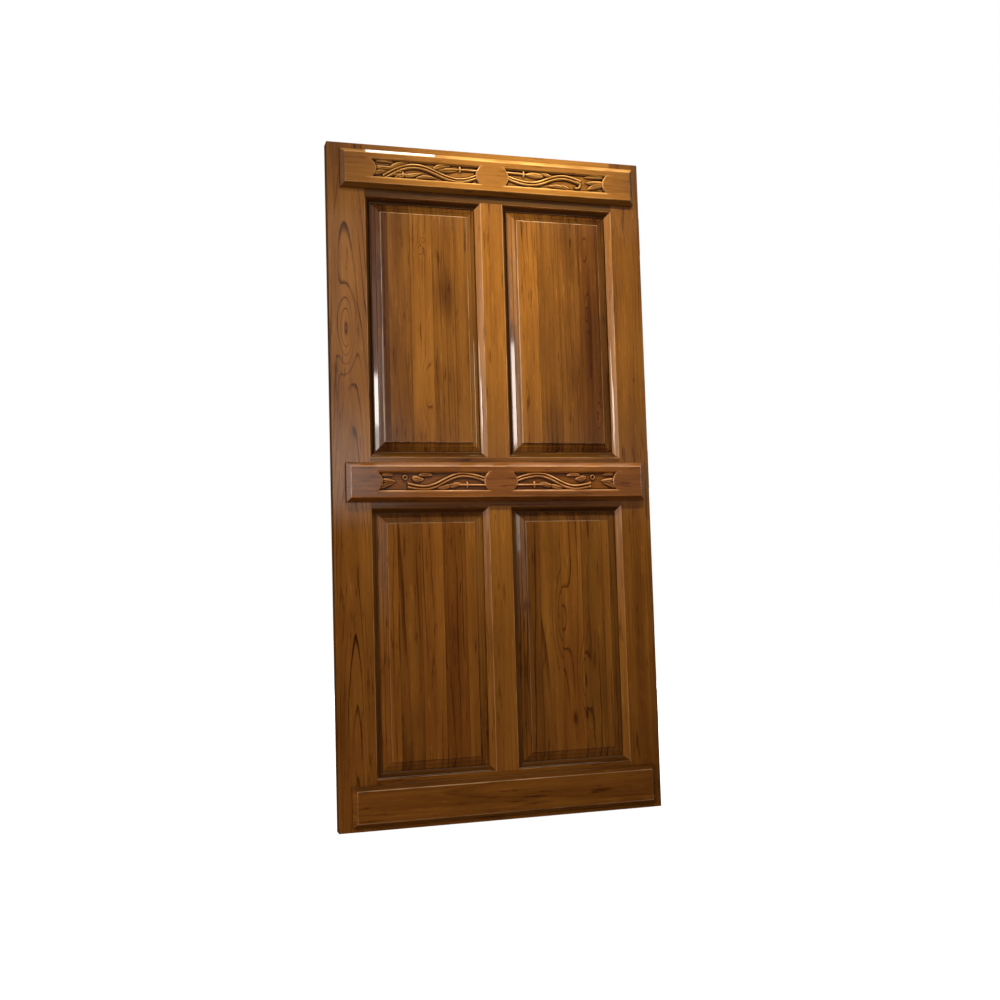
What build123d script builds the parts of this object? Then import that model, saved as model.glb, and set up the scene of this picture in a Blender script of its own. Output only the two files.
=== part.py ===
from build123d import *
import os

# A polished teak temple door leaf, hung on butt hinges.
# Stiles, rails and muntins are joined by mortise and tenon. Fielded panels float in their grooves
# behind planted mouldings, and boards with sunk vine carving lie across the rails.
# X runs along the width, Y from the carved front to the back, Z up, all in millimetres.

# Leaf and its frame members
leaf_width = 1050.0
leaf_height = 2134.0
leaf_thickness = 45.0
lock_stile_width = 117.0
hinge_stile_width = 101.0
muntin_width = 70.0
top_rail_height = 166.0
lock_rail_height = 155.0
bottom_rail_height = 151.0
back_chamfer = 6.0

# Mortise and tenon joints
tenon_thickness = 15.0
tenon_length = 70.0
tenon_shoulder = 24.0
stub_tenon_length = 36.0
stub_tenon_shoulder = 16.0

# Fielded panels, each with a tongue in the grooves of the frame
groove_depth = 12.0
groove_clearance = 0.2
panel_float = 0.8
tongue_thickness = 11.0
tongue_setback = 17.0
field_margin = 44.0
field_recess = 1.5
field_step = 5.0
field_arris = 2.0
bevel_width = 22.0

# Planted mouldings round each panel, flush with the frame
moulding_width = 18.0
moulding_crown = 2.5
moulding_fillet = 3.0
moulding_depth = 10.0
moulding_hollow = 2.0
moulding_seat = 0.3

# Boards planted across the rails
board_length = 986.0
board_height = 124.0
board_thickness = 25.0
board_chamfer = 14.0

# Sunk cartouches in the boards, with ends that bow inwards
cartouche_length = 356.0
cartouche_height = 58.0
cartouche_gap = 80.0
cartouche_bow = 14.0
cartouche_depth = 9.0

# Vine carving in each cartouche
vine_width = 15.0
vine_relief = 8.0
vine_groove_width = 3.0
vine_groove_depth = 3.0
leaf_relief = 6.5
twig_width = 7.0
twig_relief = 6.0
node_width = 5.0
node_length = 15.0
node_relief = 7.5
ring_radius = 8.0
ring_wall = 3.0
ring_sides = 10
relief_taper = 12.0

# The stem rises from the foot to the crest, falls to the trough and ends at the inner end.
# Places are shares of the cartouche's length and height, from its centre, outer end first.
foot_shares = (-0.40, -0.50)
crest_shares = (-0.10, 0.23)
trough_shares = (0.29, -0.36)
inner_shares = (0.50, 0.06)
turn_share = 0.62

# Leaves: root, tip and breadth, the breadth as a share of the cartouche's height
leaf_shares = (
    ((-0.49, 0.36), (-0.30, 0.24), 0.20),
    ((-0.49, 0.10), (-0.31, 0.08), 0.22),
    ((-0.49, -0.22), (-0.36, -0.14), 0.20),
    ((-0.31, 0.06), (-0.17, 0.40), 0.24),
    ((-0.27, -0.38), (-0.07, -0.14), 0.24),
    ((-0.13, -0.46), (0.06, -0.36), 0.20),
    ((0.05, 0.30), (0.19, 0.40), 0.26),
    ((0.08, 0.20), (0.22, 0.16), 0.22),
)

# Twigs: two ends; nodes and rings sit on them
twig_shares = (
    ((0.17, 0.22), (0.50, 0.26)),
    ((-0.30, -0.26), (-0.15, -0.24)),
)
node_shares = ((0.31, 0.24), (-0.215, -0.25))
ring_shares = ((-0.245, -0.02),)

# Butt hinges
hinge_height = 125.0
hinge_gap = 3.5
flap_depth = 32.0
flap_thickness = 3.0
knuckle_radius = 6.5
knuckle_count = 3
knuckle_clearance = 0.3
barrel_standoff = 0.6
pin_radius = 2.95
pin_clearance = 0.05
pin_head_radius = 6.0
pin_head_bevel = 2.0
pin_head_height = 4.0
barrel_sides = 12
top_hinge_distance = 180.0
bottom_hinge_distance = 250.0

# Screws of the hinges and of the boards
hole_radius = 2.75
hole_spacing_across = 16.0
hole_spacing_along = 84.0
hole_edge = 8.0
countersink_radius = 5.0
countersink_land = 0.3
countersink_rim = 0.3
hinge_screw_radius = 2.4
hinge_screw_length = 26.0
board_screw_radius = 2.5
board_screw_head_radius = 5.0
board_screw_bite = 12.0
board_screw_clearance = 0.3
board_screw_shares = (0.5,)
screw_sides = 6

# Overrun of the cuts
overrun = 5.0

# Places that follow from the sizes. The origin is under the middle of the whole part.
axis_standoff = knuckle_radius + barrel_standoff
right_reach = max(hinge_gap / 2 + knuckle_radius, hinge_gap + flap_thickness)
back_reach = axis_standoff + knuckle_radius
x_left = -(leaf_width + right_reach) / 2
x_right = x_left + leaf_width
y_face = (board_thickness - leaf_thickness - back_reach) / 2
y_back = y_face + leaf_thickness
y_middle = (y_face + y_back) / 2
opening_width = (leaf_width - lock_stile_width - hinge_stile_width - muntin_width) / 2
opening_height = (leaf_height - top_rail_height - lock_rail_height - bottom_rail_height) / 2
x_rail_start = x_left + lock_stile_width
x_rail_end = x_right - hinge_stile_width
x_muntin = x_rail_start + opening_width + muntin_width / 2
z_lower = bottom_rail_height
z_lock_rail = z_lower + opening_height
z_upper = z_lock_rail + lock_rail_height
z_top_rail = z_upper + opening_height
tongue_back = leaf_thickness - tongue_setback - tongue_thickness

rails = {
    "bottom_rail": (0, bottom_rail_height),
    "lock_rail": (z_lock_rail, lock_rail_height),
    "top_rail": (z_top_rail, top_rail_height),
}
muntins = {"lower_muntin": z_lower, "upper_muntin": z_upper}
openings = {
    "lower_left": (x_rail_start, z_lower),
    "lower_right": (x_rail_end - opening_width, z_lower),
    "upper_left": (x_rail_start, z_upper),
    "upper_right": (x_rail_end - opening_width, z_upper),
}
hinges = {
    "lower_hinge": bottom_hinge_distance,
    "middle_hinge": (bottom_hinge_distance + leaf_height - top_hinge_distance - hinge_height) / 2,
    "upper_hinge": leaf_height - top_hinge_distance - hinge_height,
}


def block(low, high):
    """Box between its lowest and its highest corner."""
    size = Vector(*high) - Vector(*low)
    return Pos(*low) * Box(size.X, size.Y, size.Z, align=(Align.MIN, Align.MIN, Align.MIN))


def front_plane(x, y, z):
    """Upright plane that looks to the front, with its own Y axis along the part's Z axis."""
    return Plane(origin=(x, y, z), x_dir=(1, 0, 0), z_dir=(0, -1, 0))


def back_plane(x, y, z):
    """Upright plane that looks to the back, with its own Y axis along the part's Z axis."""
    return Plane(origin=(x, y, z), x_dir=(-1, 0, 0), z_dir=(0, 1, 0))


def bevelled_block(plane, size, inset, rise):
    """Block on a plane, whose four sides lean in by an inset over its rise."""
    spans = []
    for upright, across, along in ((Plane.XZ, *size), (Plane.YZ, *reversed(size))):
        half = across / 2
        section = Polyline((-half, 0), (half, 0), (half - inset, rise), (inset - half, rise), close=True)
        spans.append(extrude(upright * make_face(section), along / 2, both=True))
    return plane.location * (spans[0] & spans[1])


def turned_bar(radius, low, high, sides):
    """Upright many-sided bar or bore with its flats on a circle, between two heights."""
    return extrude(Plane.XY.offset(low) * RegularPolygon(radius, sides, major_radius=False), high - low)


def sunk_head(radius, neck_radius):
    """Countersunk head, or the sink for one, down from its face at the origin: a rim and a bevel."""
    bevel = radius - neck_radius
    head = turned_bar(radius, -countersink_rim - bevel, 0, screw_sides)
    return chamfer(head.faces().sort_by(Axis.Z)[0].edges(), bevel)


def opening_centre(place):
    """Middle of an opening, from its lower left corner."""
    return place[0] + opening_width / 2, place[1] + opening_height / 2


def panel_slot(place):
    """Space of the grooves round an opening, and of the opening between them."""
    depth = groove_depth
    low_y = y_face + tongue_setback - groove_clearance
    high_y = y_face + tongue_setback + tongue_thickness + groove_clearance
    return block(
        (place[0] - depth, low_y, place[1] - depth),
        (place[0] + opening_width + depth, high_y, place[1] + opening_height + depth),
    )


def back_flare(place):
    """Chamfer round the back of an opening, mitred at its corners."""
    x, z = opening_centre(place)
    wide = (opening_width + back_chamfer + back_chamfer, opening_height + back_chamfer + back_chamfer)
    return bevelled_block(front_plane(x, y_back, z), wide, back_chamfer, back_chamfer)


def ease_openings(member):
    """Frame member with the grooves and back chamfers of the openings beside it."""
    for place in openings.values():
        member -= panel_slot(place)
        member -= back_flare(place)
    return member


def rail_tenons(z, height):
    """Bar through a rail that stands out at both ends as its tenons."""
    return block(
        (x_rail_start - tenon_length, y_middle - tenon_thickness / 2, z + tenon_shoulder),
        (x_rail_end + tenon_length, y_middle + tenon_thickness / 2, z + height - tenon_shoulder),
    )


def muntin_tenons(z):
    """Bar through a muntin that stands out at both ends as its stub tenons."""
    half = muntin_width / 2 - stub_tenon_shoulder
    return block(
        (x_muntin - half, y_middle - tenon_thickness / 2, z - stub_tenon_length),
        (x_muntin + half, y_middle + tenon_thickness / 2, z + opening_height + stub_tenon_length),
    )


def make_stile(x_low, x_high):
    """Stile with the mortises of the rails."""
    stile = block((x_low, y_face, 0), (x_high, y_back, leaf_height))
    for z, height in rails.values():
        stile -= rail_tenons(z, height)
    return ease_openings(stile)


def make_rail(z, height):
    """Rail with its tenons, and the mortises of the muntins."""
    rail = block((x_rail_start, y_face, z), (x_rail_end, y_back, z + height)) + rail_tenons(z, height)
    for muntin_z in muntins.values():
        rail -= muntin_tenons(muntin_z)
    return ease_openings(rail)


def make_muntin(z):
    """Muntin between two rails, with its stub tenons."""
    half = muntin_width / 2
    muntin = block((x_muntin - half, y_face, z), (x_muntin + half, y_back, z + opening_height))
    return ease_openings(muntin + muntin_tenons(z))


def raised_field(plane, rise):
    """Bevel and stepped field that stand up from the tongue of a panel."""
    field = (opening_width - field_margin - field_margin, opening_height - field_margin - field_margin)
    foot = (field[0] + bevel_width + bevel_width, field[1] + bevel_width + bevel_width)
    bevel_rise = rise - field_step
    bevel = bevelled_block(plane, foot, bevel_width, bevel_rise)
    plateau = extrude(plane.offset(bevel_rise) * Rectangle(*field), field_step)
    outer = plateau.faces().sort_by_distance(plane.offset(rise).origin)[0]
    return bevel + chamfer(outer.edges(), field_arris)


def make_panel(place):
    """Panel raised and fielded on both faces, with a tongue all round."""
    x, z = opening_centre(place)
    lap = groove_depth - panel_float
    front_y = y_face + tongue_setback
    back_y = front_y + tongue_thickness
    tongue = block(
        (place[0] - lap, front_y, place[1] - lap),
        (place[0] + opening_width + lap, back_y, place[1] + opening_height + lap),
    )
    front = raised_field(front_plane(x, front_y, z), tongue_setback - field_recess)
    back = raised_field(back_plane(x, back_y, z), tongue_back - field_recess)
    return tongue + front + back


def moulding_profile():
    """Section of a moulding: a crown flush with the frame, a hollow, and a fillet over the panel."""
    crown_end = Vector(moulding_crown, 0)
    hollow_end = Vector(moulding_width - moulding_fillet, -moulding_depth)
    run = hollow_end - crown_end
    middle = crown_end + run / 2 + Vector(run.Y, -run.X).normalized() * moulding_hollow
    seat = -tongue_setback + moulding_seat
    outline = [
        Line((0, 0), crown_end),
        ThreePointArc(crown_end, middle, hollow_end),
        Line(hollow_end, (moulding_width, -moulding_depth)),
        Polyline((moulding_width, -moulding_depth), (moulding_width, seat), (0, seat), (0, 0)),
    ]
    return make_face(Curve() + outline)


def make_moulding(plane, length):
    """Strip along one side of an opening, mitred at both ends."""
    half = length / 2
    across = Plane(origin=(-half, 0, 0), x_dir=(0, 1, 0), z_dir=(1, 0, 0))
    strip = extrude(across * moulding_profile(), length)
    mitred = Polyline(
        (-half, 0), (half, 0), (half - moulding_width, moulding_width), (moulding_width - half, moulding_width), close=True
    )
    keep = extrude(Plane.XY.offset(-tongue_setback) * make_face(mitred), tongue_setback + overrun)
    return plane.location * (strip & keep)


def opening_sides(place):
    """Planes on the middle of an opening's sides, with their own Y axis into the opening."""
    x, z = opening_centre(place)
    half_width = opening_width / 2
    half_height = opening_height / 2
    front = (0, -1, 0)
    return {
        "sill": (Plane((x, y_face, z - half_height), (1, 0, 0), front), opening_width),
        "hinge_side": (Plane((x + half_width, y_face, z), (0, 0, 1), front), opening_height),
        "head": (Plane((x, y_face, z + half_height), (-1, 0, 0), front), opening_width),
        "lock_side": (Plane((x - half_width, y_face, z), (0, 0, -1), front), opening_height),
    }


def place_in_cartouche(shares):
    """Point in a cartouche, from its shares of the length and the height."""
    return Vector(shares[0] * cartouche_length, shares[1] * cartouche_height)


def cartouche_outline():
    """Outline of a sunk cartouche, with both ends bowed inwards."""
    half_length = cartouche_length / 2
    half_height = cartouche_height / 2
    waist = half_length - cartouche_bow
    outline = [
        Line((-half_length, half_height), (half_length, half_height)),
        ThreePointArc((half_length, half_height), (waist, 0), (half_length, -half_height)),
        Line((half_length, -half_height), (-half_length, -half_height)),
        ThreePointArc((-half_length, -half_height), (-waist, 0), (-half_length, half_height)),
    ]
    return make_face(Curve() + outline)


def stem_line():
    """Centre line of the stem, as arcs that are level at the crest and at the trough."""
    foot, crest, trough, inner = (
        place_in_cartouche(shares) for shares in (foot_shares, crest_shares, trough_shares, inner_shares)
    )
    turn = crest + (trough - crest) * turn_share
    return [
        TangentArc(crest, foot, tangent=(-1, 0)),
        TangentArc(crest, turn, tangent=(1, 0)),
        TangentArc(trough, turn, tangent=(-1, 0)),
        TangentArc(trough, inner, tangent=(1, 0)),
    ]


def make_leaf(root_shares, tip_shares, breadth_share):
    """Pointed leaf between its root and its tip, with sloping sides."""
    root = place_in_cartouche(root_shares)
    tip = place_in_cartouche(tip_shares)
    run = tip - root
    side = Vector(-run.Y, run.X).normalized() * (breadth_share * cartouche_height / 2)
    middle = root + run / 2
    edges = [ThreePointArc(root, middle + side, tip), ThreePointArc(tip, middle - side, root)]
    return extrude(make_face(Curve() + edges), leaf_relief, taper=relief_taper)


def make_vine():
    """Stem with its groove, leaves, twigs, nodes and rings, standing on the cartouche's floor."""
    stem = Part()
    groove = Part()
    for arc in stem_line():
        stem += extrude(trace(arc, vine_width), vine_relief)
        groove += extrude(Plane.XY.offset(vine_relief - vine_groove_depth) * trace(arc, vine_groove_width), vine_relief)
    vine = stem - groove
    for root, tip, breadth in leaf_shares:
        vine += make_leaf(root, tip, breadth)
    for start, end in twig_shares:
        twig = Line(place_in_cartouche(start), place_in_cartouche(end))
        vine += extrude(trace(twig, twig_width), twig_relief)
    for shares in node_shares:
        spot = place_in_cartouche(shares)
        vine += Pos(spot.X, spot.Y) * extrude(Rectangle(node_width, node_length), node_relief)
    for shares in ring_shares:
        spot = place_in_cartouche(shares)
        ring = RegularPolygon(ring_radius, ring_sides) - RegularPolygon(ring_radius - ring_wall, ring_sides)
        vine += Pos(spot.X, spot.Y) * extrude(ring, node_relief)
    return vine & extrude(cartouche_outline(), cartouche_depth)


def make_board(carved, flipped):
    """Board with chamfered edges, flat on its back, and a vine in both cartouches if it is carved."""
    board = Box(board_length, board_height, board_thickness, align=(Align.CENTER, Align.CENTER, Align.MIN))
    board = chamfer(board.faces().sort_by(Axis.Z)[-1].edges(), board_chamfer)
    if not carved:
        return board
    floor = board_thickness - cartouche_depth
    shift = (cartouche_length + cartouche_gap) / 2
    left_vine = make_vine()
    if flipped:
        left_vine = mirror(left_vine, Plane.XZ)
    vines = {-shift: left_vine, shift: mirror(left_vine, Plane.YZ)}
    for x, vine in vines.items():
        board -= Pos(x, 0, floor) * extrude(cartouche_outline(), cartouche_depth + overrun)
        board += Pos(x, 0, floor) * vine
    return board


def board_screw_spots(z):
    """Screws of the board on a rail, behind each opening's width, as places on the back of the leaf."""
    starts = (x_rail_start, x_rail_end - opening_width)
    return [
        back_plane(start + share * opening_width, y_back, z) for start in starts for share in board_screw_shares
    ]


def countersunk_screw(head_radius, shank_radius, length):
    """Screw that goes down from its flat head, with the head's face at the origin."""
    return sunk_head(head_radius, shank_radius) + turned_bar(shank_radius, -length, 0, screw_sides)


def board_screw(radius):
    """Screw through the leaf into a board."""
    return countersunk_screw(board_screw_head_radius, radius, leaf_thickness + board_screw_bite)


def hinge_hole_spots(x, z_hinge):
    """Places of a flap's holes on an upright face at x, looking along +X."""
    y = y_back - hole_edge - hole_spacing_across / 2
    z = z_hinge + hinge_height / 2
    half_across = hole_spacing_across / 2
    half_along = hole_spacing_along / 2
    return [
        Plane(origin=(x, y + side * half_across, z + end * half_along), x_dir=(0, 1, 0), z_dir=(1, 0, 0))
        for side in (-1, 1)
        for end in (-1, 1)
    ]


def make_flap(x_low, z_hinge, knuckles):
    """Hinge flap with its own knuckles on the barrel's axis."""
    x_axis = x_right + hinge_gap / 2
    y_axis = y_back + axis_standoff
    pitch = hinge_height / knuckle_count
    x_high = x_low + flap_thickness
    flap = block((x_low, y_back - flap_depth, z_hinge), (x_high, y_back, z_hinge + hinge_height))
    for index in knuckles:
        z_low = z_hinge + pitch * index + knuckle_clearance / 2
        z_high = z_low + pitch - knuckle_clearance
        flap += block((x_low, y_back - barrel_standoff, z_low), (x_high, y_axis, z_high))
        flap += Pos(x_axis, y_axis) * turned_bar(knuckle_radius, z_low, z_high, barrel_sides)
    bore = turned_bar(pin_radius + pin_clearance, z_hinge, z_hinge + hinge_height, barrel_sides)
    return flap - Pos(x_axis, y_axis) * bore


def flap_hole():
    """Round hole through a flap, down from the origin, with a countersink that leaves a narrow land."""
    sink = sunk_head(countersink_radius, hole_radius + countersink_land)
    return sink + extrude(Circle(hole_radius), -flap_thickness)


def make_pin(z_hinge):
    """Round hinge pin with a tapered head on the top knuckle."""
    z_top = z_hinge + hinge_height
    shank = extrude(Plane.XY.offset(z_hinge) * Circle(pin_radius), hinge_height)
    head = turned_bar(pin_head_radius, z_top, z_top + pin_head_height, barrel_sides)
    head = chamfer(head.faces().sort_by(Axis.Z)[-1].edges(), pin_head_bevel)
    return Pos(x_right + hinge_gap / 2, y_back + axis_standoff) * (shank + head)


nodes = {}

# Frame of the leaf
nodes["lock_stile"] = make_stile(x_left, x_rail_start)
nodes["hinge_stile"] = make_stile(x_rail_end, x_right)
for name, (z, height) in rails.items():
    nodes[name] = make_rail(z, height)
for name, z in muntins.items():
    nodes[name] = make_muntin(z)

# Panels and their mouldings
for name, place in openings.items():
    nodes[f"{name}_panel"] = make_panel(place)
    for side, (plane, length) in opening_sides(place).items():
        nodes[f"{name}_moulding_{side}"] = make_moulding(plane, length)

# Boards on the rails, with their screws from the back
boards = {"top_carved_board": "top_rail", "middle_carved_board": "lock_rail", "bottom_board": "bottom_rail"}
board_screws = []
for name, rail in boards.items():
    z = rails[rail][0] + rails[rail][1] / 2
    board = make_board(name != "bottom_board", name == "middle_carved_board")
    board = front_plane(x_muntin, y_face, z).location * board
    for spot in board_screw_spots(z):
        screw = spot.location * board_screw(board_screw_radius)
        board -= screw
        nodes[rail] -= spot.location * board_screw(board_screw_radius + board_screw_clearance)
        board_screws.append(screw)
    nodes[name] = board
nodes["board_screws"] = Compound(children=board_screws)

# Hinges, let in flush with the edge of the hinge stile
hinge_screws = []
for name, z_hinge in hinges.items():
    door_flap = make_flap(x_right - flap_thickness, z_hinge, range(1, knuckle_count, 2))
    frame_flap = make_flap(x_right + hinge_gap, z_hinge, range(0, knuckle_count, 2))
    nodes["hinge_stile"] -= block(
        (x_right - flap_thickness, y_back - flap_depth, z_hinge),
        (x_right + overrun, y_back + overrun, z_hinge + hinge_height),
    )
    for spot in hinge_hole_spots(x_right, z_hinge):
        screw = spot.location * countersunk_screw(countersink_radius, hinge_screw_radius, hinge_screw_length)
        door_flap -= screw
        for member in ("hinge_stile", *rails):
            nodes[member] -= screw
        hinge_screws.append(screw)
    for spot in hinge_hole_spots(x_right + hinge_gap, z_hinge):
        frame_flap -= spot.location * Rot(180, 0, 0) * flap_hole()
    nodes[f"{name}_door_flap"] = door_flap
    nodes[f"{name}_frame_flap"] = frame_flap
    nodes[f"{name}_pin"] = make_pin(z_hinge)
nodes["hinge_screws"] = Compound(children=hinge_screws)

os.makedirs("parts", exist_ok=True)
for name, shape in nodes.items():
    export_step(shape, f"parts/{name}.step")
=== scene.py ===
"""Looks of a polished teak temple door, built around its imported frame.

Metres throughout: X along the width, Y from the carved front to the back, Z up. The sections of the panels,
mouldings and boards are in millimetres. A pair of edges bounds a smooth step.
"""

import logging
import math
from dataclasses import dataclass, field
from enum import Enum
from typing import Sequence

import bpy
import numpy as np
from mathutils import Matrix, Vector


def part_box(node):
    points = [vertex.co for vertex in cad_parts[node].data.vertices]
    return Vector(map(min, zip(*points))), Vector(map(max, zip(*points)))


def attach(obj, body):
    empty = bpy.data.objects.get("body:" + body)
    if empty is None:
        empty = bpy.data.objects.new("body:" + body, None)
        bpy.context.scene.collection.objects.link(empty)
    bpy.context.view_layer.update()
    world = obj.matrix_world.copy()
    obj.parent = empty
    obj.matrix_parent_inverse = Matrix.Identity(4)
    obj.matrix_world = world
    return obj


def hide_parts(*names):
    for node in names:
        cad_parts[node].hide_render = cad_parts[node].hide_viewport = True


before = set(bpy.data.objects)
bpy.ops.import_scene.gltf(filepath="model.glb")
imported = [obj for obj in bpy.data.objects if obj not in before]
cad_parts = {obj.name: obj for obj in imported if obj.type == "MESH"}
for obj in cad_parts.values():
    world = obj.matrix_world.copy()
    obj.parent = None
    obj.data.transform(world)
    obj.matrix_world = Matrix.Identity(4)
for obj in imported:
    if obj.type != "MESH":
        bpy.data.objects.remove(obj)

LOG = logging.getLogger("temple_door")
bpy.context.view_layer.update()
BODY = "door_leaf"
MM = 0.001

Place = tuple[float, float, float]
Tint = tuple[float, float, float]
Paint = tuple[float, float, float, float]
Pair = tuple[float, float]
Socket = bpy.types.NodeSocket

FLOAT = "NodeSocketFloat"
VECTOR = "NodeSocketVector"
COLOUR = "NodeSocketColor"

MIX_FACTOR = 0
MIX_FIRST = 6
MIX_SECOND = 7
MIX_RESULT = 2

CHANNEL_TOP = 255.0
CURVE_KNEE = 0.04045
CURVE_SLOPE = 12.92
CURVE_OFFSET = 0.055
CURVE_POWER = 2.4

NOISE_MEAN = 0.5
LEG_SHARE = 0.48
SHARP_ANGLE = 30.0
FACE_WEIGHT = 100
STAVE_SHIFT = (0.30, 0.05, 9.0)
JOINT_EDGES = (0.480, 0.495)
LEVEL_TURN = (0.0, math.pi / 2, 0.0)


class Grain(Enum):
    """Which way the fibres of a piece run."""

    UPRIGHT = "upright"
    LEVEL = "level"


class Design(Enum):
    """Carving of a board."""

    PLAIN = "plain"
    RISING = "rising"
    FALLING = "falling"


class Axis(Enum):
    """Axis of the shared frame, by its place in a vector."""

    X = 0
    Y = 1
    Z = 2


def linear(red: int, green: int, blue: int) -> Paint:
    """Scene colour of an eight bit display colour, by the display's own curve.

    Args:
        red, green, blue: Channels from 0 to 255.

    Returns:
        Linear colour with full alpha.
    """
    share = np.array([red, green, blue]) / CHANNEL_TOP
    curved = ((share + CURVE_OFFSET) / (1.0 + CURVE_OFFSET)) ** CURVE_POWER
    value = np.where(share <= CURVE_KNEE, share / CURVE_SLOPE, curved)
    return (*value.tolist(), 1.0)


WHITE = (1.0, 1.0, 1.0, 1.0)
BLACK = (0.0, 0.0, 0.0, 1.0)
CREAM = (1.0, 0.95, 0.88)
KEY_TINT = (0.93, 1.0, 0.80)
# Painted shade: the dark brown that stands in for shade in recesses, on ledges, under edges, at ends and
# below the top board.
SHADE_BROWN = linear(28, 11, 4)
GLUE_LINE = linear(52, 26, 10)
BARE_EDGE = linear(58, 32, 14)
# Tints of wear and painted highlight on arrises, ridges and rims.
PALE_WEAR_HIGHLIGHT = linear(224, 178, 134)
GOLD_WEAR_HIGHLIGHT = linear(255, 186, 108)
UMBER_WEAR_HIGHLIGHT = linear(255, 178, 118)
RED_CAST = linear(250, 214, 205)
SCREW_BRIGHT = linear(206, 166, 96)
WOOD_TONES = (
    (0.0, linear(52, 26, 9)),
    (0.28, linear(92, 53, 19)),
    (0.52, linear(126, 78, 29)),
    (0.76, linear(152, 99, 39)),
    (1.0, linear(176, 121, 53)),
)


class NodeSheet:
    """A node tree with short calls that add nodes and join them."""

    def __init__(self, tree: bpy.types.NodeTree) -> None:
        """Keeps the tree that the nodes go to."""
        self.tree = tree

    def feed(self, socket: Socket, value: object) -> None:
        """Joins a socket to another one, or sets its constant.

        Args:
            socket: Input that is fed.
            value: Output socket or constant.
        """
        if isinstance(value, bpy.types.NodeSocket):
            self.tree.links.new(value, socket)
        else:
            socket.default_value = value

    def feed_all(self, node: bpy.types.Node, inputs: dict[int | str, object]) -> None:
        """Feeds inputs of a node, by name or place."""
        for key, value in inputs.items():
            self.feed(node.inputs[key], value)

    def node(
        self,
        kind: str,
        inputs: dict[int | str, object] | None = None,
        **settings: object,
    ) -> bpy.types.Node:
        """Adds a node.

        Args:
            kind: Blender's node type.
            inputs: Sockets or constants for its inputs, by name or place.
            settings: Properties of the node.

        Returns:
            The new node.
        """
        made = self.tree.nodes.new(kind)
        for name, value in settings.items():
            setattr(made, name, value)
        self.feed_all(made, inputs or {})
        return made

    def math(self, operation: str, *values: object, clamp: bool = False) -> Socket:
        """Result of a Math node on sockets or numbers."""
        made = self.node("ShaderNodeMath", dict(enumerate(values)), operation=operation, use_clamp=clamp)
        return made.outputs[0]

    def remap(self, value: object, low: float, high: float, start: float = 0.0, end: float = 1.0) -> Socket:
        """Smooth step of a value between two edges, mapped to a new range."""
        edges = {"Value": value, "From Min": low, "From Max": high, "To Min": start, "To Max": end}
        return self.node("ShaderNodeMapRange", edges, interpolation_type="SMOOTHSTEP").outputs["Result"]

    def noise(self, vector: Socket, detail: float, roughness: float) -> Socket:
        """Value of a noise texture whose scale is already in its vector."""
        inputs = {"Vector": vector, "Scale": 1.0, "Detail": detail, "Roughness": roughness}
        return self.node("ShaderNodeTexNoise", inputs).outputs["Fac"]

    def scaled(self, vector: Socket, scale: Sequence[float]) -> Socket:
        """Vector scaled along each axis."""
        return self.node("ShaderNodeVectorMath", {0: vector, 1: scale}, operation="MULTIPLY").outputs[0]

    def parts(self, vector: Socket) -> Sequence[Socket]:
        """X, Y and Z of a vector."""
        return self.node("ShaderNodeSeparateXYZ", {0: vector}).outputs

    def attribute(self, name: str) -> Socket:
        """Share that the points of a piece carry."""
        return self.node("ShaderNodeAttribute", attribute_name=name).outputs["Fac"]

    def mix(self, factor: object, first: object, second: object, blend: str = "MIX") -> Socket:
        """Colour between two colours.

        Args:
            factor: Share of the second colour.
            first, second: The colours.
            blend: Blender's blend mode.

        Returns:
            The mixed colour.
        """
        inputs = {MIX_FACTOR: factor, MIX_FIRST: first, MIX_SECOND: second}
        made = self.node("ShaderNodeMix", data_type="RGBA", blend_type=blend, clamp_factor=True)
        self.feed_all(made, inputs)
        return made.outputs[MIX_RESULT]

    def ramp(self, value: Socket, stops: Sequence[tuple[float, Paint]]) -> Socket:
        """Colour ramp.

        Args:
            value: Place on the ramp, from 0 to 1.
            stops: Places and colours, in order.

        Returns:
            The colour.
        """
        made = self.node("ShaderNodeValToRGB", {0: value})
        elements = made.color_ramp.elements
        while len(elements) < len(stops):
            elements.new(1.0)
        for element, (place, colour) in zip(elements, stops):
            element.position = place
            element.color = colour
        return made.outputs["Color"]


GroupParts = tuple[NodeSheet, bpy.types.Node, bpy.types.Node]
MaterialParts = tuple[bpy.types.Material, NodeSheet, bpy.types.Node]


def new_group(name: str, numbers: dict[str, float], outputs: dict[str, str]) -> GroupParts:
    """Empty shader node group with a vector and numbers as inputs.

    Args:
        name: Name of the group.
        numbers: Default of each number.
        outputs: Socket type of each output.

    Returns:
        The sheet of the group, its input node and its output node.
    """
    tree = bpy.data.node_groups.new(name, "ShaderNodeTree")
    tree.interface.new_socket("Vector", in_out="INPUT", socket_type=VECTOR)
    for label, default in numbers.items():
        socket = tree.interface.new_socket(label, in_out="INPUT", socket_type=FLOAT)
        socket.default_value = default
    for label, kind in outputs.items():
        tree.interface.new_socket(label, in_out="OUTPUT", socket_type=kind)
    sheet = NodeSheet(tree)
    return sheet, sheet.node("NodeGroupInput"), sheet.node("NodeGroupOutput")


def new_material(name: str) -> MaterialParts:
    """Material with its shader.

    Args:
        name: Name of the material.

    Returns:
        The material, the sheet of its nodes and its shader.
    """
    made = bpy.data.materials.new(name)
    made.use_nodes = True
    return made, NodeSheet(made.node_tree), made.node_tree.nodes["Principled BSDF"]


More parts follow.
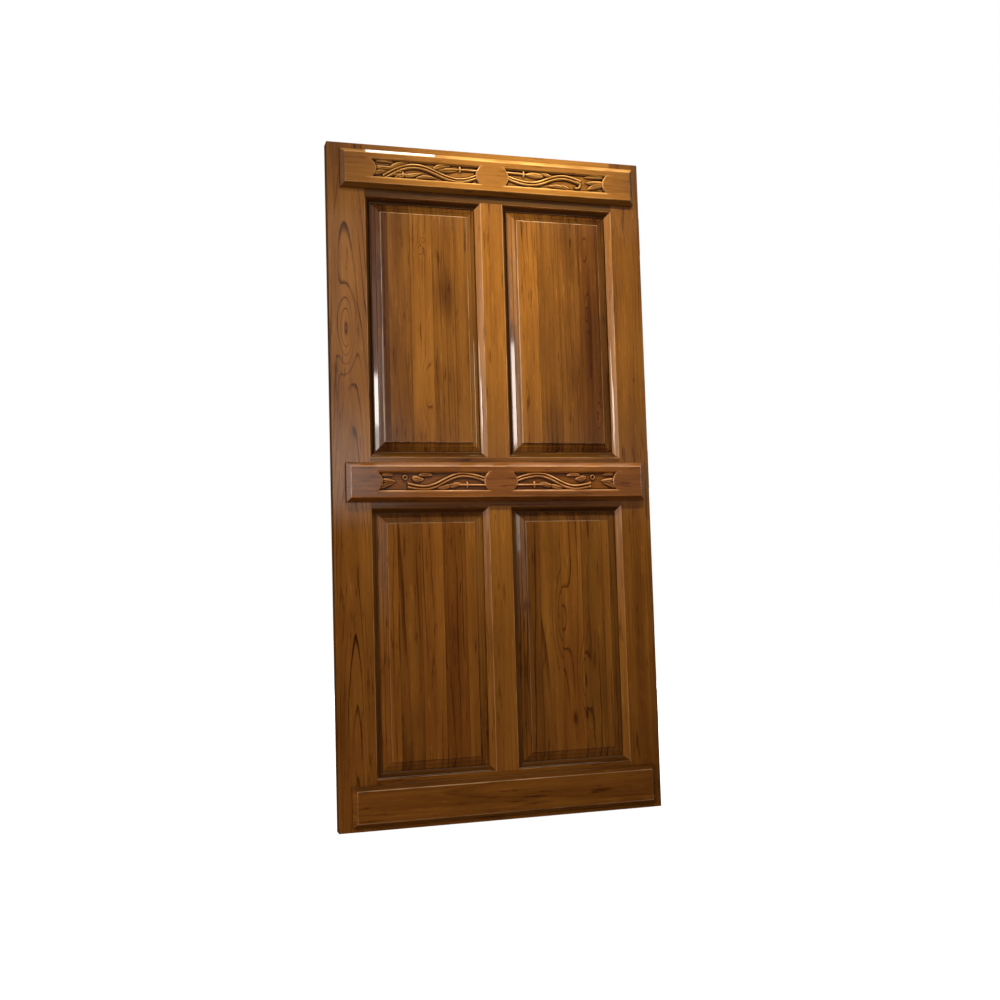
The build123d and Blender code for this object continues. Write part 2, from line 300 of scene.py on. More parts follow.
@dataclass(frozen=True)
class GrainLayer:
    """Noise drawn out along the fibres: cells in a metre across and along, its detail and its share."""

    across: float
    along: float
    detail: float = 2.0
    roughness: float = 0.5
    share: float = 0.0

    def value(self, sheet: NodeSheet, vector: Socket) -> Socket:
        """Noise of the layer, from 0 to 1."""
        drawn = sheet.scaled(vector, (self.across, self.across, self.along))
        return sheet.noise(drawn, self.detail, self.roughness)

    def added(self, sheet: NodeSheet, noise: Socket, base: object) -> Socket:
        """Base with the layer's share of the noise about its mean."""
        return sheet.math("MULTIPLY_ADD", sheet.math("SUBTRACT", noise, NOISE_MEAN), self.share, base)


@dataclass(frozen=True)
class TeakFigure:
    """Teak figure on grain coordinates: X across, Y into the wood, Z along the fibres.

    Growth rings are cylinders about a tilted pith: the ring count is the distance from the pith over the
    ring pitch, plus a swell round knots. Each ring darkens towards its late wood. Fibres, broad streaks and
    pores are noise drawn out along Z.
    """

    depth_share: float = 0.3
    drift: GrainLayer = GrainLayer(7.0, 1.3, share=0.05)
    waver: GrainLayer = GrainLayer(45.0, 5.0, share=0.011)
    late_rise: Pair = (0.76, 0.95)
    late_fall: Pair = (1.0, 0.95)
    patch: GrainLayer = GrainLayer(16.0, 2.2)
    patch_edges: Pair = (0.40, 0.64)
    patch_least: float = 0.08
    swell_edges: Pair = (0.10, 0.70)
    swell_share: float = 0.7
    streak: GrainLayer = GrainLayer(120.0, 2.6, 4.0, 0.6, 0.17)
    band: GrainLayer = GrainLayer(30.0, 0.8, share=0.42)
    fibre: GrainLayer = GrainLayer(420.0, 7.0, 3.0, 0.6, 0.20)
    cloud: GrainLayer = GrainLayer(9.0, 2.5, share=0.42)
    pore: GrainLayer = GrainLayer(900.0, 24.0, 1.0)
    pore_edges: Pair = (0.60, 0.72)
    fleck: GrainLayer = GrainLayer(95.0, 8.0, 3.0, 0.65)
    dark_fleck_edges: Pair = (0.58, 0.72)
    light_fleck_edges: Pair = (0.42, 0.28)
    mean_tone: float = 0.52
    dark_fleck_tone: float = -0.26
    light_fleck_tone: float = 0.16
    late_tone: float = -0.42
    pore_tone: float = -0.10
    least_rough: float = 0.30
    fibre_rough: float = 0.12
    pore_rough: float = 0.12
    fibre_height: float = 0.5
    pore_height: float = -0.7
    late_height: float = -0.25

    def late_wood(self, sheet: NodeSheet, given: dict[str, Socket], place: Socket) -> Socket:
        """Late wood: the fraction of the ring count, with a slow rise and a sharp fall, in patches.

        Args:
            sheet: Sheet of the group.
            given: Inputs of the group.
            place: Grain coordinates.

        Returns:
            Share of late wood.
        """
        parts = sheet.parts(place)
        across = sheet.math("SUBTRACT", parts[0], given["Pith Across"])
        for layer in (self.drift, self.waver):
            across = layer.added(sheet, layer.value(sheet, place), across)
        depth = sheet.math("MULTIPLY_ADD", parts[2], given["Tilt"], given["Pith Depth"])
        depth = sheet.math("ADD", depth, parts[1])
        square = sheet.math("ADD", sheet.math("POWER", across, 2.0), sheet.math("POWER", depth, 2.0))
        count = sheet.math("DIVIDE", sheet.math("SQRT", square), given["Pitch"])
        share = sheet.math("FRACT", sheet.math("ADD", count, given["Swell"]))
        rise = sheet.remap(share, *self.late_rise)
        late = sheet.math("MULTIPLY", rise, sheet.remap(share, *self.late_fall))
        patch = sheet.remap(self.patch.value(sheet, place), *self.patch_edges, self.patch_least, 1.0)
        patch = sheet.math("MULTIPLY", patch, given["Figure"])
        swollen = sheet.remap(given["Swell"], *self.swell_edges, 0.0, self.swell_share)
        return sheet.math("MULTIPLY", late, sheet.math("MAXIMUM", patch, swollen))

    def group(self) -> bpy.types.NodeTree:
        """Shader group of the figure.

        Returns:
            The group, with colour, roughness and height.
        """
        numbers = {"Pith Across": 0.0, "Pith Depth": 0.03, "Tilt": 0.05, "Pitch": 0.008}
        numbers |= {"Swell": 0.0, "Figure": 1.0, "Tone": 0.0, "Redness": 0.0}
        outputs = {"Color": COLOUR, "Roughness": FLOAT, "Height": FLOAT}
        sheet, inlet, out = new_group("TeakFigure", numbers, outputs)
        given = dict(inlet.outputs.items())
        place = sheet.scaled(given["Vector"], (1.0, self.depth_share, 1.0))
        late = self.late_wood(sheet, given, place)
        pore = sheet.remap(self.pore.value(sheet, place), *self.pore_edges)
        fleck = self.fleck.value(sheet, place)
        layers = (self.streak, self.band, self.fibre, self.cloud)
        noises = {layer: layer.value(sheet, place) for layer in layers}
        tone: object = self.mean_tone
        for layer, noise in noises.items():
            tone = layer.added(sheet, noise, tone)
        dark_fleck = sheet.remap(fleck, *self.dark_fleck_edges)
        light_fleck = sheet.remap(fleck, *self.light_fleck_edges)
        tone = sheet.math("MULTIPLY_ADD", dark_fleck, self.dark_fleck_tone, tone)
        tone = sheet.math("MULTIPLY_ADD", light_fleck, self.light_fleck_tone, tone)
        tone = sheet.math("ADD", tone, given["Tone"])
        tone = sheet.math("MULTIPLY_ADD", late, self.late_tone, tone)
        tone = sheet.math("MULTIPLY_ADD", pore, self.pore_tone, tone, clamp=True)
        wood = sheet.ramp(tone, WOOD_TONES)
        red = sheet.mix(1.0, wood, RED_CAST, "MULTIPLY")
        rough = sheet.math("MULTIPLY_ADD", noises[self.fibre], self.fibre_rough, self.least_rough)
        height = sheet.math("MULTIPLY", noises[self.fibre], self.fibre_height)
        height = sheet.math("MULTIPLY_ADD", pore, self.pore_height, height)
        sheet.feed(out.inputs["Color"], sheet.mix(given["Redness"], wood, red))
        sheet.feed(out.inputs["Roughness"], sheet.math("MULTIPLY_ADD", pore, self.pore_rough, rough))
        sheet.feed(out.inputs["Height"], sheet.math("MULTIPLY_ADD", late, self.late_height, height))
        return sheet.tree


def stave_group() -> bpy.types.NodeTree:
    """Boards glued edge to edge: a whole number counts the staves across, and seeds a shift and a tone.

    Returns:
        The group, with the shifted vector, the tone of a stave and the dark joint between two.
    """
    numbers = {"Width": 0.072, "Start": 0.0, "Seed": 0.0, "Contrast": 0.2}
    outputs = {"Vector": VECTOR, "Tone": FLOAT, "Red": FLOAT, "Joint": FLOAT}
    sheet, inlet, out = new_group("GluedStaves", numbers, outputs)
    given = inlet.outputs
    across = sheet.parts(given["Vector"])[0]
    place = sheet.math("DIVIDE", sheet.math("SUBTRACT", across, given["Start"]), given["Width"])
    index = sheet.math("ADD", sheet.math("FLOOR", place), given["Seed"])
    seed = sheet.node("ShaderNodeTexWhiteNoise", {"W": index}, noise_dimensions="1D").outputs
    spread = sheet.math("SUBTRACT", seed["Value"], NOISE_MEAN)
    shift = sheet.scaled(seed["Color"], STAVE_SHIFT)
    moved = sheet.node("ShaderNodeVectorMath", {0: given["Vector"], 1: shift}, operation="ADD")
    hue = sheet.node("ShaderNodeSeparateColor", {0: seed["Color"]})
    edge = sheet.math("ABSOLUTE", sheet.math("SUBTRACT", sheet.math("FRACT", place), 0.5))
    sheet.feed(out.inputs["Vector"], moved.outputs[0])
    sheet.feed(out.inputs["Tone"], sheet.math("MULTIPLY", spread, given["Contrast"]))
    sheet.feed(out.inputs["Red"], hue.outputs[1])
    sheet.feed(out.inputs["Joint"], sheet.remap(edge, *JOINT_EDGES))
    return sheet.tree


def knot_group() -> bpy.types.NodeTree:
    """Swell of the rings round a knot: a bell over the distance from its centre, drawn out along the fibres.

    Returns:
        The group, with the swell in rings.
    """
    numbers = {"Across": 0.0, "Along": 0.0, "Breadth": 0.02, "Length": 0.10, "Rings": 3.0}
    sheet, inlet, out = new_group("Knot", numbers, {"Swell": FLOAT})
    given = inlet.outputs
    parts = sheet.parts(given["Vector"])
    side = sheet.math("DIVIDE", sheet.math("SUBTRACT", parts[0], given["Across"]), given["Breadth"])
    run = sheet.math("DIVIDE", sheet.math("SUBTRACT", parts[2], given["Along"]), given["Length"])
    square = sheet.math("ADD", sheet.math("POWER", side, 2.0), sheet.math("POWER", run, 2.0))
    swell = sheet.math("EXPONENT", sheet.math("MULTIPLY", square, -1.0))
    sheet.feed(out.inputs["Swell"], sheet.math("MULTIPLY", swell, given["Rings"]))
    return sheet.tree


@dataclass(frozen=True)
class Knot:
    """A knot's place across and along the fibres, its reach and its rings."""

    across: float
    along: float
    breadth: float = 0.020
    length: float = 0.10
    rings: float = 3.0

    def swell(self, sheet: NodeSheet, group: bpy.types.NodeTree, place: Socket) -> Socket:
        """Swell of this knot at each place.

        Args:
            sheet: Sheet of the material.
            group: Shader group of knots.
            place: Grain coordinates.

        Returns:
            The swell, in rings.
        """
        inputs = {"Vector": place, "Across": self.across, "Along": self.along}
        inputs |= {"Breadth": self.breadth, "Length": self.length, "Rings": self.rings}
        return sheet.node("ShaderNodeGroup", inputs, node_tree=group).outputs["Swell"]


@dataclass(frozen=True)
class Staves:
    """Boards glued edge to edge in one panel."""

    start: float
    seed: float
    width: float = 0.072
    contrast: float = 0.28

    def glued(self, sheet: NodeSheet, group: bpy.types.NodeTree, place: Socket) -> Sequence[Socket]:
        """Staves of this panel at each place.

        Args:
            sheet: Sheet of the material.
            group: Shader group of staves.
            place: Grain coordinates.

        Returns:
            Outputs of the group.
        """
        inputs = {"Vector": place, "Width": self.width, "Start": self.start}
        inputs |= {"Seed": self.seed, "Contrast": self.contrast}
        return sheet.node("ShaderNodeGroup", inputs, node_tree=group).outputs


@dataclass(frozen=True)
class Shade:
    """Painted shadow: colour darkened below a height, standing in for the shadow under an edge that stands
    proud.
    """

    full: float
    none: float
    share: float


@dataclass(frozen=True)
class TeakFinish:
    """Varnished teak of one piece: the place of its pith, its tone, its painted shade, its wear with painted
    highlights and its gloss.
    """

    name: str
    grain: Grain
    pith: float = 0.0
    depth: float = 0.03
    tilt: float = 0.05
    pitch: float = 0.008
    figure: float = 1.0
    tone: float = 0.0
    lean: float = 0.0
    redness: float = 0.2
    stave_redness: float = 2.0
    smudge_tone: float = -0.07
    joint_share: float = 0.55
    knots: tuple[Knot, ...] = ()
    smudges: tuple[Knot, ...] = ()
    staves: Staves | None = None
    shade: Shade | None = None
    # Painted shade: darkening in recesses, on faces that look up or down and at the ends, where shade would
    # fall.
    recess: bool = False
    recess_shade: float = 0.78
    ledge: float = 0.0
    ledge_edges: Pair = (0.12, 0.35)
    under: float = 0.0
    under_edges: Pair = (-0.12, -0.40)
    ends: float = 0.0
    end_edges: Pair = (0.40, 0.65)
    # Wear and painted highlight: lighter arrises, ridges and rims, more on faces that look up.
    wear_and_highlight: float = 0.0
    wear_highlight_tint: Paint = PALE_WEAR_HIGHLIGHT
    lit_facing_edges: Pair = (-0.4, 0.4)
    highlight_under_share: float = 0.4
    uneven: GrainLayer = GrainLayer(30.0, 9.0)
    uneven_edges: Pair = (0.34, 0.62)
    uneven_least: float = 0.4
    bare_edges: Pair = (0.93, 0.99)
    bare_share: float = 0.6
    bare_rough: float = 0.4
    bump: float = 0.07
    bump_reach: float = 0.0004
    arris: float = 0.0
    arris_samples: int = 4
    coat_roughness: float = 0.05
    coat_bend: float = 1.5

    def wood(
        self, sheet: NodeSheet, groups: dict[str, bpy.types.NodeTree], place: Socket
    ) -> tuple[Socket, Socket, Socket]:
        """Wood before its polish: the figure, with staves, knots and smudges.

        Args:
            sheet: Sheet of the material.
            groups: Shader groups by name.
            place: Grain coordinates.

        Returns:
            Colour, roughness and height.
        """
        inputs: dict[str, object] = {"Vector": place, "Swell": 0.0}
        inputs |= {"Tone": self.tone, "Redness": self.redness}
        inputs |= {"Pith Across": self.pith, "Pith Depth": self.depth, "Tilt": self.tilt}
        inputs |= {"Pitch": self.pitch, "Figure": self.figure}
        joint: Socket | None = None
        if self.staves:
            glued = self.staves.glued(sheet, groups["staves"], place)
            level = self.tone - self.lean * self.staves.start
            lean = sheet.math("MULTIPLY_ADD", sheet.parts(place)[0], self.lean, level)
            redness = self.redness * self.stave_redness
            inputs["Vector"] = glued["Vector"]
            inputs["Tone"] = sheet.math("ADD", glued["Tone"], lean)
            inputs["Redness"] = sheet.math("MULTIPLY", glued["Red"], redness, clamp=True)
            joint = glued["Joint"]
        for knot in self.knots:
            inputs["Swell"] = sheet.math("ADD", knot.swell(sheet, groups["knot"], place), inputs["Swell"])
        for smudge in self.smudges:
            dark = smudge.swell(sheet, groups["knot"], place)
            inputs["Tone"] = sheet.math("MULTIPLY_ADD", dark, self.smudge_tone, inputs["Tone"])
        figure = sheet.node("ShaderNodeGroup", inputs, node_tree=groups["teak"]).outputs
        colour = figure["Color"]
        if joint is not None:
            colour = sheet.mix(sheet.math("MULTIPLY", joint, self.joint_share), colour, GLUE_LINE)
        return colour, figure["Roughness"], figure["Height"]

    def painted_shading(self, sheet: NodeSheet, colour: Socket, upward: Socket, side: Socket) -> Socket:
        """Painted shade in recesses, on ledges, under edges and at ends, the most of them at each point.

        Args:
            sheet: Sheet of the material.
            colour: Colour so far.
            upward, side: How far the surface faces up, and to either side.

        Returns:
            The stained colour.
        """
        dark = sheet.math("MULTIPLY", sheet.attribute("recess"), self.recess_shade)
        steps = (
            (self.ledge, upward, self.ledge_edges),
            (self.under, upward, self.under_edges),
            (self.ends, side, self.end_edges),
        )
        for share, facing, edges in steps:
            if share:
                dark = sheet.math("MAXIMUM", dark, sheet.remap(facing, *edges, 0.0, share))
        return sheet.mix(dark, colour, SHADE_BROWN)

    def worn_and_highlighted(self, sheet: NodeSheet, colour: Socket, place: Socket, upward: Socket) -> Socket:
        """Wear and painted highlight on ridges: lighter, unevenly, and most where they face up, as if lit
        from above.

        Args:
            sheet: Sheet of the material.
            colour: Colour so far.
            place: Grain coordinates.
            upward: How far the surface faces up.

        Returns:
            The worn colour.
        """
        # Painted light: faces that look up get more of the highlight.
        upper = sheet.remap(upward, *self.lit_facing_edges, self.highlight_under_share * self.wear_and_highlight, self.wear_and_highlight)
        uneven = sheet.remap(self.uneven.value(sheet, place), *self.uneven_edges, self.uneven_least, 1.0)
        share = sheet.math("MULTIPLY", sheet.attribute("wear_and_highlight"), sheet.math("MULTIPLY", upper, uneven))
        return sheet.mix(share, colour, self.wear_highlight_tint)

    def material(self, groups: dict[str, bpy.types.NodeTree]) -> bpy.types.Material:
        """Varnished wood: figure under a clear coat, and bare edges without it.

        Args:
            groups: Shader groups by name.

        Returns:
            The new material.
        """
        made, sheet, shader = new_material(self.name)
        coordinates = sheet.node("ShaderNodeTexCoord").outputs
        place = coordinates["Object"]
        if self.grain is Grain.LEVEL:
            turned = sheet.node("ShaderNodeMapping", {"Vector": place, "Rotation": LEVEL_TURN})
            place = turned.outputs["Vector"]
        colour, rough, height = self.wood(sheet, groups, place)
        facing = sheet.parts(coordinates["Normal"])
        side = sheet.math("ABSOLUTE", facing[0])
        # Painted shade in recesses, on ledges, under edges and at ends.
        if self.recess:
            colour = self.painted_shading(sheet, colour, facing[2], side)
        # Wear and painted highlight.
        if self.wear_and_highlight:
            colour = self.worn_and_highlighted(sheet, colour, place, facing[2])
        # Painted shadow below a height.
        if self.shade:
            level = sheet.parts(coordinates["Object"])[2]
            below = sheet.remap(level, self.shade.none, self.shade.full, 0.0, self.shade.share)
            colour = sheet.mix(below, colour, SHADE_BROWN)
        bare = sheet.remap(side, *self.bare_edges)
        bump = {"Height": height, "Distance": self.bump_reach, "Strength": self.bump}
        relief = sheet.node("ShaderNodeBump", bump)
        if self.arris:
            rounded = sheet.node("ShaderNodeBevel", {"Radius": self.arris}, samples=self.arris_samples)
            sheet.feed(relief.inputs["Normal"], rounded.outputs["Normal"])
        inputs = {
            "Base Color": sheet.mix(sheet.math("MULTIPLY", bare, self.bare_share), colour, BARE_EDGE),
            "Roughness": sheet.math("MULTIPLY_ADD", bare, self.bare_rough, rough),
            "Coat Weight": sheet.math("SUBTRACT", 1.0, bare),
            "Coat Roughness": self.coat_roughness,
            "Coat IOR": self.coat_bend,
            "Specular IOR Level": 0.0,
            "Normal": relief.outputs["Normal"],
        }
        sheet.feed_all(shader, inputs)
        return made


@dataclass(frozen=True)
class BrassFinish:
    """Rolled brass with fine scratches and a little tarnish."""

    name: str
    bright: Paint = linear(196, 152, 82)
    dull: Paint = linear(128, 92, 46)
    tarnish: GrainLayer = GrainLayer(90.0, 60.0, 4.0)
    tarnish_edges: Pair = (0.40, 0.66)
    scratch: GrainLayer = GrainLayer(2600.0, 40.0)
    least_rough: float = 0.22
    tarnish_rough: float = 0.22
    scratch_rough: float = 0.12
    bump: float = 0.15
    bump_reach: float = 0.0001

    def material(self) -> bpy.types.Material:
        """Metal whose tarnish follows a noise, and whose roughness follows drawn out scratches.

        Returns:
            The new material.
        """
        made, sheet, shader = new_material(self.name)
        place = sheet.node("ShaderNodeTexCoord").outputs["Object"]
        tarnish = sheet.remap(self.tarnish.value(sheet, place), *self.tarnish_edges)
        scratch = self.scratch.value(sheet, place)
        rough = sheet.math("MULTIPLY_ADD", tarnish, self.tarnish_rough, self.least_rough)
        bump = {"Height": scratch, "Distance": self.bump_reach, "Strength": self.bump}
        inputs = {
            "Base Color": sheet.mix(tarnish, self.bright, self.dull),
            "Roughness": sheet.math("MULTIPLY_ADD", scratch, self.scratch_rough, rough),
            "Normal": sheet.node("ShaderNodeBump", bump).outputs["Normal"],
            "Metallic": 1.0,
        }
        sheet.feed_all(shader, inputs)
        return made


def bell(values: np.ndarray, centre: float, width: float) -> np.ndarray:
    """Bell curve: one at the centre, falling with the square of the distance over the width."""
    return np.exp(-(((values - centre) / width) ** 2))


def joined_lines(stops: Sequence[float], counts: Sequence[int]) -> np.ndarray:
    """Places from stop to stop, evenly spaced within each span.

    Args:
        stops: Ends of the spans, in order.
        counts: Places of each span, with both its ends.

    Returns:
        The places, each end once.
    """
    spans = [np.linspace(low, high, count)[:-1] for low, high, count in zip(stops, stops[1:], counts)]
    return np.concatenate([*spans, stops[-1:]])


def eased(points: Sequence[Pair], ease: float, steps: int = 4) -> np.ndarray:
    """Open outline with its inner corners rounded.

    Each corner P becomes a quadratic curve from a point on the leg before it to one on the leg after it,
    both an ease away, or less than half of a short leg.

    Args:
        points: Corners of the outline.
        ease: Length taken off each leg.
        steps: Points of each curve.

    Returns:
        The points, one row each.
    """
    corners = np.asarray(points, float)
    legs = np.diff(corners, axis=0)
    lengths = np.linalg.norm(legs, axis=1, keepdims=True)
    unit = legs / lengths
    reach = np.minimum(ease, LEG_SHARE * np.minimum(lengths[:-1], lengths[1:]))
    start = corners[1:-1] - unit[:-1] * reach
    end = corners[1:-1] + unit[1:] * reach
    t = np.linspace(0.0, 1.0, steps)[None, :, None]
    curve = (1 - t) ** 2 * start[:, None] + 2 * t * (1 - t) * corners[1:-1, None] + t**2 * end[:, None]
    return np.vstack([corners[:1], curve.reshape(-1, 2), corners[-1:]])


def ring_faces(rings: int, count: int) -> np.ndarray:
    """Quads between closed rings of as many points, each ring one step further out or back.

    Args:
        rings: Number of rings.
        count: Points of each ring.

    Returns:
        Vertex numbers of each quad.
    """
    ring, point = np.meshgrid(np.arange(rings - 1), np.arange(count), indexing="ij")
    inner = ring * count
    outer = inner + count
    after = (point + 1) % count
    return np.stack((inner + point, outer + point, outer + after, inner + after), axis=-1).reshape(-1, 4)


def make_piece(
    name: str,
    points: np.ndarray,
    faces: list[list[int]],
    material: bpy.types.Material,
    sharp: float = SHARP_ANGLE,
) -> bpy.types.Object:
    """Object at the origin from points and faces, smooth but for its sharp edges.

    Args:
        name: Name of the piece.
        points: Vertices, one row each.
        faces: Vertex numbers of each face.
        material: Finish of the piece.
        sharp: Angle in degrees from which an edge is sharp.

    Returns:
        The new object, in the scene.
    """
    mesh = bpy.data.meshes.new(name)
    mesh.from_pydata(points.reshape(-1, 3).tolist(), [], faces)
    mesh.validate()
    mesh.shade_smooth()
    mesh.set_sharp_from_angle(angle=math.radians(sharp))
    mesh.materials.append(material)
    made = bpy.data.objects.new(name, mesh)
    bpy.context.scene.collection.objects.link(made)
    even = made.modifiers.new("even_shading", "WEIGHTED_NORMAL")
    even.keep_sharp = True
    even.weight = FACE_WEIGHT
    return made


def smoothed(values: np.ndarray, reach: int, rounds: int = 2) -> np.ndarray:
    """Mean over a square window of cells, from running sums along each axis, repeated for a soft fall-off.

    Args:
        values: Grid of values.
        reach: Cells on each side of the middle one.
        rounds: Times that the mean is taken.

    Returns:
        Grid of means, of the same size.
    """
    width = 2 * reach + 1
    for axis in (0, 1) * rounds:
        lines = np.moveaxis(values, axis, 0)
        total = np.cumsum(np.pad(lines, ((reach + 1, reach), (0, 0)), mode="edge"), axis=0)
        values = np.moveaxis((total[width:] - total[:-width]) / width, 0, axis)
    return values


def mark_points(piece: bpy.types.Object, name: str, share: np.ndarray) -> None:
    """Stores a share for each vertex, such as 1 in corners that get painted shade and 0 on open faces."""
    layer = piece.data.attributes.new(name, "FLOAT", "POINT")
    layer.data.foreach_set("value", np.ascontiguousarray(share, np.float32))


def settle(piece: bpy.types.Object, body: str, slot: str, *nodes: str) -> None:
    """Lets a piece ride on its body and hides the solids that it stands for.

    Args:
        piece: The piece.
        body: Body that carries it.
        slot: Name of its material slot; not used.
        nodes: Solids that it replaces.
    """
    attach(piece, body)
    if nodes:
        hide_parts(*nodes)
    LOG.info("%s: %d faces", piece.name, len(piece.data.polygons))


@dataclass(frozen=True)
class Opening:
    """One opening of the frame, seen from the front."""

    name: str

    @property
    def row(self) -> str:
        """Upper or lower, from the name."""
        return self.name.split("_")[0]

    @property
    def corners(self) -> tuple[float, float, float, float]:
        """Corners of the opening, from the boxes of its mouldings.

        Returns:
            Lowest X and Z, then highest X and Z.
        """
        low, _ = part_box(f"{self.name}_moulding_sill")
        _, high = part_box(f"{self.name}_moulding_hinge_side")
        return low.x, low.z, high.x, high.z

    @property
    def face(self) -> float:
        """Y of the frame's front face."""
        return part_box("lock_stile")[0].y

    def rings(self, outline: np.ndarray) -> np.ndarray:
        """Rectangles inside the opening, one for each point of an outline.

        Args:
            outline: Inset from the opening's edge and depth behind the face, in millimetres, one row each.

        Returns:
            Corners of each rectangle, anticlockwise from the lower left as seen from the front.
        """
        left, low, right, high = self.corners
        inset = outline[:, 0] * MM
        x = np.stack([left + inset, right - inset, right - inset, left + inset], axis=1)
        z = np.stack([low + inset, low + inset, high - inset, high - inset], axis=1)
        y = np.repeat(self.face + outline[:, 1:2] * MM, 4, axis=1)
        return np.stack([x, y, z], axis=2)


@dataclass
class FieldedPanel:
    """Panel raised on both faces, in millimetres from the opening's edge and the frame's face."""

    opening: Opening
    field_margin: float = 48.5
    field_depth: float = 1.5
    back_field: float = 43.5
    arris: float = 1.8
    rim_share: float = 8.0
    hold_share: float = 2.0
    step: float = 4.0
    heel: float = 2.6
    heel_share: float = 0.2
    bevel: float = 28.5
    facet: float = 13.0
    facet_drop: float = 4.2
    groove: float = 1.3
    groove_near_share: float = 0.7
    groove_far_share: float = 1.7
    groove_rise_share: float = 0.3
    foot: float = 3.0
    foot_rise: float = 1.65
    tongue_lap: float = 11.2
    tongue_front: float = 17.0
    tongue_back: float = 28.0
    ease: float = 0.9
    sharp: float = 20.0
    step_shift: float = 0.6
    step_shadow_width: float = 1.4
    groove_shade: float = 0.9
    groove_shade_width: float = 1.2
    corner_start: float = 3.2
    corner_width: float = 3.0
    bevel_shade: float = 0.03
    wear_highlight_shift_share: float = 0.5
    wear_highlight_width_share: float = 0.6

    def side(self, field_depth: float, tongue: float) -> np.ndarray:
        """Outline of one face, from its field out: arris, step, facet, groove, facet and tongue.

        Args:
            field_depth: Depth of the field behind the frame's face.
            tongue: Depth of the tongue's face on this side.

        Returns:
            Inset and depth of each point.
        """
        inward = 1.0 if tongue > field_depth else -1.0
        margin = self.field_margin
        turn = margin - self.facet
        drop = field_depth + inward * (self.step + self.facet_drop)
        heel_drop = self.step + self.heel_share * self.facet_drop
        groove_rise = self.groove_rise_share * self.groove
        return eased(
            (
                (margin + self.rim_share * self.arris, field_depth),
                (margin + self.hold_share * self.arris, field_depth),
                (margin + self.arris, field_depth),
                (margin, field_depth + inward * self.arris),
                (margin, field_depth + inward * self.step),
                (margin - self.heel, field_depth + inward * heel_drop),
                (turn, drop),
                (turn - self.groove_near_share * self.groove, drop + inward * self.groove),
                (turn - self.groove_far_share * self.groove, drop + inward * groove_rise),
                (margin - self.bevel + self.foot, tongue - inward * self.foot_rise),
                (margin - self.bevel, tongue),
                (-self.tongue_lap, tongue),
            ),
            self.ease,
        )

    def mark(self, piece: bpy.types.Object, inset: np.ndarray) -> None:
        """Marks painted shade at the step, in the groove and at the foot, and wear with a painted highlight
        along the arris.

        Args:
            piece: The panel.
            inset: Inset of each ring of points.
        """
        # Painted shadow of the field's step, and painted shade in the groove, at the foot and over the
        # bevel.
        step = bell(inset, self.field_margin - self.step_shift, self.step_shadow_width)
        turn = self.field_margin - self.facet - self.groove
        groove = self.groove_shade * bell(inset, turn, self.groove_shade_width)
        corner = (self.field_margin - self.bevel + self.corner_start - inset) / self.corner_width
        bevel = np.where(inset < self.field_margin, self.bevel_shade, 0.0)
        recess = np.max([step, groove, np.clip(corner, 0.0, 1.0), bevel], axis=0)
        mark_points(piece, "recess", np.repeat(recess, 4))
        # Wear and painted highlight along the arris.
        centre = self.field_margin + self.wear_highlight_shift_share * self.arris
        mark_points(piece, "wear_and_highlight", np.repeat(bell(inset, centre, self.wear_highlight_width_share * self.arris), 4))

    def build(self, material: bpy.types.Material) -> bpy.types.Object:
        """Closed panel: the outline of the front, then that of the back, carried round the opening.

        Args:
            material: Finish of the panel.

        Returns:
            The new piece.
        """
        front = self.side(self.field_depth, self.tongue_front)
        back = self.side(self.back_field, self.tongue_back)[::-1]
        outline = np.vstack([front, back])
        count = len(outline)
        faces = ring_faces(count, 4).tolist()
        faces.append([0, 1, 2, 3])
        faces.append([4 * count - 1 - index for index in range(4)])
        name = f"{self.opening.name}_fielded_panel"
        piece = make_piece(name, self.opening.rings(outline), faces, material, self.sharp)
        self.mark(piece, outline[:, 0])
        return piece


